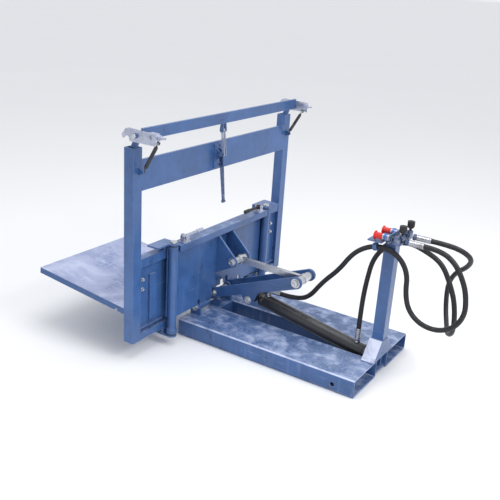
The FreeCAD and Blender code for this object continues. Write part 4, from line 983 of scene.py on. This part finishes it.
FRAME_MIDDLE_LINES = (
    ((-0.881, -0.025, 0.1603), (-0.831, -0.025, 0.1603), 1.0),  # round the post's foot
    ((-0.831, -0.025, 0.1603), (-0.831, 0.025, 0.1603), 1.0),
    ((-0.831, 0.025, 0.1603), (-0.881, 0.025, 0.1603), 1.0),
    ((-0.881, 0.025, 0.1603), (-0.881, -0.025, 0.1603), 1.0),
    ((-0.831, -0.025, 0.597), (-0.831, 0.025, 0.597), 0.8),  # post to bracket
    ((-0.8615, -0.025, 0.5865), (-0.8615, 0.025, 0.5865), 0.8),
)
MAST_SIDE_LINES = (
    ((0.002, 0.5497, 0.410), (0.042, 0.5497, 0.410), 1.0),  # top rail to upright
    ((0.002, 0.5497, 0.450), (0.042, 0.5497, 0.450), 1.0),
    ((0.002, 0.5497, 0.412), (0.002, 0.5497, 0.448), 1.0),
    ((0.0103, 0.5497, 0.745), (0.0103, 0.5497, 0.869), 1.0),  # crossbar to upright
    ((0.001, 0.5497, 0.743), (0.010, 0.5497, 0.743), 0.8),
    ((0.001, 0.5497, 0.871), (0.010, 0.5497, 0.871), 0.8),
    ((0.0217, 0.5497, 0.115), (0.0217, 0.5497, 0.405), 0.9),  # panel to upright
    ((0.004, 0.5717, 0.9203), (0.034, 0.5717, 0.9203), 1.0),  # hook bar ears
    ((0.004, 0.5803, 0.9203), (0.034, 0.5803, 0.9203), 1.0),
    ((-0.0083, 0.0497, 0.245), (-0.0083, 0.0497, 0.430), 1.0),  # link gussets
    ((-0.0083, 0.0603, 0.245), (-0.0083, 0.0603, 0.430), 1.0),
    ((-0.0083, 0.352, 0.150), (-0.0083, 0.352, 0.455), 1.0),  # carriage plate
    ((-0.045, 0.2780, 0.4703), (-0.015, 0.2780, 0.4703), 0.8),  # latch brackets
    ((-0.045, 0.3220, 0.4703), (-0.015, 0.3220, 0.4703), 0.8),
)
DECK_LINE = ((0.0503, 0.030, 0.2345), (0.0503, 0.545, 0.2345), 1.0)


def make_frame_welds(details):
    """Welds of the fork frame: cross members, lugs, rear bridge and post."""
    bm = bmesh.new()
    for sign in (1, -1):
        for xs, ys in LUG_FEET:
            foot_beads(bm, xs, [y * sign for y in ys], 0.0802, details.bead * SLIM)
        bead_lines(bm, FRAME_SIDE_LINES, details.bead, sign)
    bead_lines(bm, FRAME_MIDDLE_LINES, details.bead)
    piece("frame_welds", bm, "Blue enamel", "blue_paint", "base")


def make_mast_welds(details):
    """Welds of the carriage and the mast."""
    bm = bmesh.new()
    for sign in (1, -1):
        bead_lines(bm, MAST_SIDE_LINES, details.bead, sign)
    bead_lines(bm, (DECK_LINE,), details.bead)
    piece("mast_welds", bm, "Blue enamel", "blue_paint", "carriage")


# Finishes of the CAD nodes that stay in view, by material.
KEPT_NODES = {
    "Pocket enamel": ("left_fork_pocket", "right_fork_pocket"),
    # The rear arch's finish carries a painted reflection on its slopes.
    "Arch enamel with painted reflection": ("rear_arch",),
    "Mottled enamel": ("cross_members", "lower_panel", "lower_frame", "carriage_rail",
                       "carriage_plate"),
    "Blue enamel": ("pivot_lugs", "cylinder_lugs", "post", "coupler_bracket", "hose_bracket",
                    "left_lever_plate", "right_lever_plate", "hinge_tubes", "hinge_knuckles",
                    "left_link_gusset", "right_link_gusset", "left_upright", "right_upright",
                    "crossbar", "hinge_ears", "mast_lugs", "hook_bar", "clamp_bracket"),
    "Scuffed deck": ("deck",),
    "Galvanised": ("hook_brackets", "latch_brackets", "clamp_link"),
    "Ground steel": ("hinge_shaft", "cylinder_base_pin", "link_bar", "link_bush", "hinge_pins"),
    "Plated rod": ("piston_rod",),
    "Black enamel": ("barrel_tube", "barrel_base_eye", "gland_nut", "rod_eye"),
    "Dark zinc": ("clamp_handle",),
}
FINE_EDGES = ("clamp_handle", "clamp_link", "clamp_bracket", "latch_brackets", "link_bush",
              "hinge_pins", "hinge_shaft", "cylinder_base_pin", "gland_nut", "hook_brackets")


def dress_kept_nodes(details):
    """Gives each kept node its finish and rounds its cut edges."""
    for material, names in KEPT_NODES.items():
        for name in names:
            node = NODES[name]
            if not node.material_slots:
                node.data.materials.append(bpy.data.materials[material])
            for slot in node.material_slots:
                slot.material = bpy.data.materials[material]
            join = node.modifiers.new("Join", "WELD")
            join.merge_threshold = 1e-5
            edge = node.modifiers.new("Edges", "BEVEL")
            edge.width = details.edge * (0.4 if name in FINE_EDGES else 1.0)
            edge.segments = 2
            edge.limit_method = "ANGLE"
            edge.angle_limit = math.radians(40)
            edge.use_clamp_overlap = True


# ================================================================ stage
def light(name, spot, target, size, power):
    data = bpy.data.lights.new(name, "AREA")
    data.shape = "DISK"
    data.size = size
    data.energy = power
    lamp = bpy.data.objects.new(name, data)
    lamp.location = spot
    lamp.rotation_euler = (Vector(target) - Vector(spot)).to_track_quat("-Z", "Y").to_euler()
    bpy.context.scene.collection.objects.link(lamp)


def make_stage(stage):
    """Pale floor, soft lights and the camera."""
    scene = bpy.context.scene
    scene.view_settings.view_transform = "Standard"
    half = stage.floor_size / 2
    mesh = bpy.data.meshes.new("studio_floor")
    mesh.from_pydata([(-half, -half, 0), (half, -half, 0), (half, half, 0), (-half, half, 0)], [],
                     [(0, 1, 2, 3)])
    floor = bpy.data.objects.new("studio_floor", mesh)
    floor.location.z = -0.0005
    scene.collection.objects.link(floor)
    material, graph, inputs = open_material("Studio floor")
    cloud = graph.span(graph.noise(graph.place(), 0.8, 3.0), 0.3, 0.7, 0.0, 0.15)
    graph.feed(inputs["Base Color"], graph.mix(cloud, tuple(stage.floor), (0.93, 0.93, 0.94)))
    inputs["Roughness"].default_value = 0.7
    mesh.materials.append(material)
    world = bpy.data.worlds.new("Studio")
    world.use_nodes = True
    world.node_tree.nodes["Background"].inputs["Color"].default_value = (0.95, 0.97, 1.0, 1.0)
    world.node_tree.nodes["Background"].inputs["Strength"].default_value = 0.90
    scene.world = world
    light("overhead", (-0.4, 0.3, 3.6), (-0.4, 0, 0.3), 2.6, 42)
    light("key", (-3.4, 0.2, 3.2), (-0.3, 0, 0.4), 1.4, 60)
    light("fill", (0.8, 4.2, 1.6), (-0.2, 0, 0.4), 2.2, 6)
    data = bpy.data.cameras.new("camera")
    data.sensor_width = 36.0
    data.lens = 52.46
    data.dof.use_dof = False
    camera = bpy.data.objects.new("camera", data)
    camera.location = (-1.8364, 2.6790, 1.5515)
    camera.rotation_euler = (math.radians(69.656), math.radians(-3.5115), math.radians(-146.9685))
    scene.collection.objects.link(camera)
    scene.camera = camera


# ================================================================ add-on
class TIPPER_OT_finishes(bpy.types.Operator):
    """Builds the paint, metal, rubber and plastic finishes"""
    bl_idname = "tipper.finishes"
    bl_label = "Finishes"

    def execute(self, context):
        make_finishes(context.scene.tipper_paint)
        return {"FINISHED"}


class TIPPER_OT_stage(bpy.types.Operator):
    """Sets up the floor, lights and camera"""
    bl_idname = "tipper.stage"
    bl_label = "Stage"

    def execute(self, context):
        make_stage(context.scene.tipper_stage)
        return {"FINISHED"}


class TIPPER_OT_hoses(bpy.types.Operator):
    """Lays both hydraulic hoses"""
    bl_idname = "tipper.hoses"
    bl_label = "Hoses"

    def execute(self, context):
        hoses = context.scene.tipper_hoses
        make_hose("gland_hose_cover", GLAND_ROUTE, hoses.radius,
                  "gland_hose")
        make_hose("base_hose_cover", BASE_ROUTE, hoses.radius,
                  "base_hose")
        return {"FINISHED"}


class TIPPER_OT_fittings(bpy.types.Operator):
    """Builds the hose fittings, couplers, valves and caps"""
    bl_idname = "tipper.fittings"
    bl_label = "Hydraulic fittings"

    def execute(self, context):
        make_port_fittings()
        make_coupler_lines()
        return {"FINISHED"}


class TIPPER_OT_pins(bpy.types.Operator):
    """Builds the linkage pins"""
    bl_idname = "tipper.pins"
    bl_label = "Linkage pins"

    def execute(self, context):
        make_pins()
        return {"FINISHED"}


class TIPPER_OT_springs(bpy.types.Operator):
    """Winds the hook bar springs"""
    bl_idname = "tipper.springs"
    bl_label = "Springs"

    def execute(self, context):
        make_springs(context.scene.tipper_details)
        return {"FINISHED"}


class TIPPER_OT_latches(bpy.types.Operator):
    """Builds both hand latches"""
    bl_idname = "tipper.latches"
    bl_label = "Latches"

    def execute(self, context):
        make_latches()
        return {"FINISHED"}


class TIPPER_OT_fasteners(bpy.types.Operator):
    """Adds bolts, nuts and the cylinder's trim"""
    bl_idname = "tipper.fasteners"
    bl_label = "Fasteners and trim"

    def execute(self, context):
        make_fasteners()
        make_gap_sheet()
        make_cylinder_trim()
        return {"FINISHED"}


class TIPPER_OT_welds(bpy.types.Operator):
    """Runs the welds of the frame and the mast"""
    bl_idname = "tipper.welds"
    bl_label = "Welds"

    def execute(self, context):
        make_frame_welds(context.scene.tipper_details)
        make_mast_welds(context.scene.tipper_details)
        return {"FINISHED"}


class TIPPER_OT_steelwork(bpy.types.Operator):
    """Paints the kept steelwork and rounds its edges"""
    bl_idname = "tipper.steelwork"
    bl_label = "Steelwork"

    def execute(self, context):
        dress_kept_nodes(context.scene.tipper_details)
        return {"FINISHED"}


STEPS = (TIPPER_OT_finishes, TIPPER_OT_stage, TIPPER_OT_hoses, TIPPER_OT_fittings, TIPPER_OT_pins,
         TIPPER_OT_springs, TIPPER_OT_latches, TIPPER_OT_fasteners, TIPPER_OT_welds,
         TIPPER_OT_steelwork)
SETTINGS = (("tipper_paint", TIPPER_PG_paint), ("tipper_hoses", TIPPER_PG_hoses),
            ("tipper_details", TIPPER_PG_details), ("tipper_stage", TIPPER_PG_stage))


class TIPPER_PT_panel(bpy.types.Panel):
    """Sizes, colours and steps of the tipper"""
    bl_idname = "TIPPER_PT_panel"
    bl_label = "Fork Box Tipper"
    bl_space_type = "VIEW_3D"
    bl_region_type = "UI"
    bl_category = "Tipper"

    def draw(self, context):
        column = self.layout.column()
        for name, group in SETTINGS:
            for field in group.__annotations__:
                column.prop(getattr(context.scene, name), field)
        for step in STEPS:
            column.operator(step.bl_idname)


def register():
    for name, group in SETTINGS:
        bpy.utils.register_class(group)
        setattr(bpy.types.Scene, name, bpy.props.PointerProperty(type=group))
    for made in (*STEPS, TIPPER_PT_panel):
        bpy.utils.register_class(made)


def unregister():
    for made in (TIPPER_PT_panel, *reversed(STEPS)):
        bpy.utils.unregister_class(made)
    for name, group in reversed(SETTINGS):
        delattr(bpy.types.Scene, name)
        bpy.utils.unregister_class(group)


def main():
    register()
    for step in STEPS:
        family, action = step.bl_idname.split(".")
        getattr(getattr(bpy.ops, family), action)()


if __name__ == "__main__":
    main()
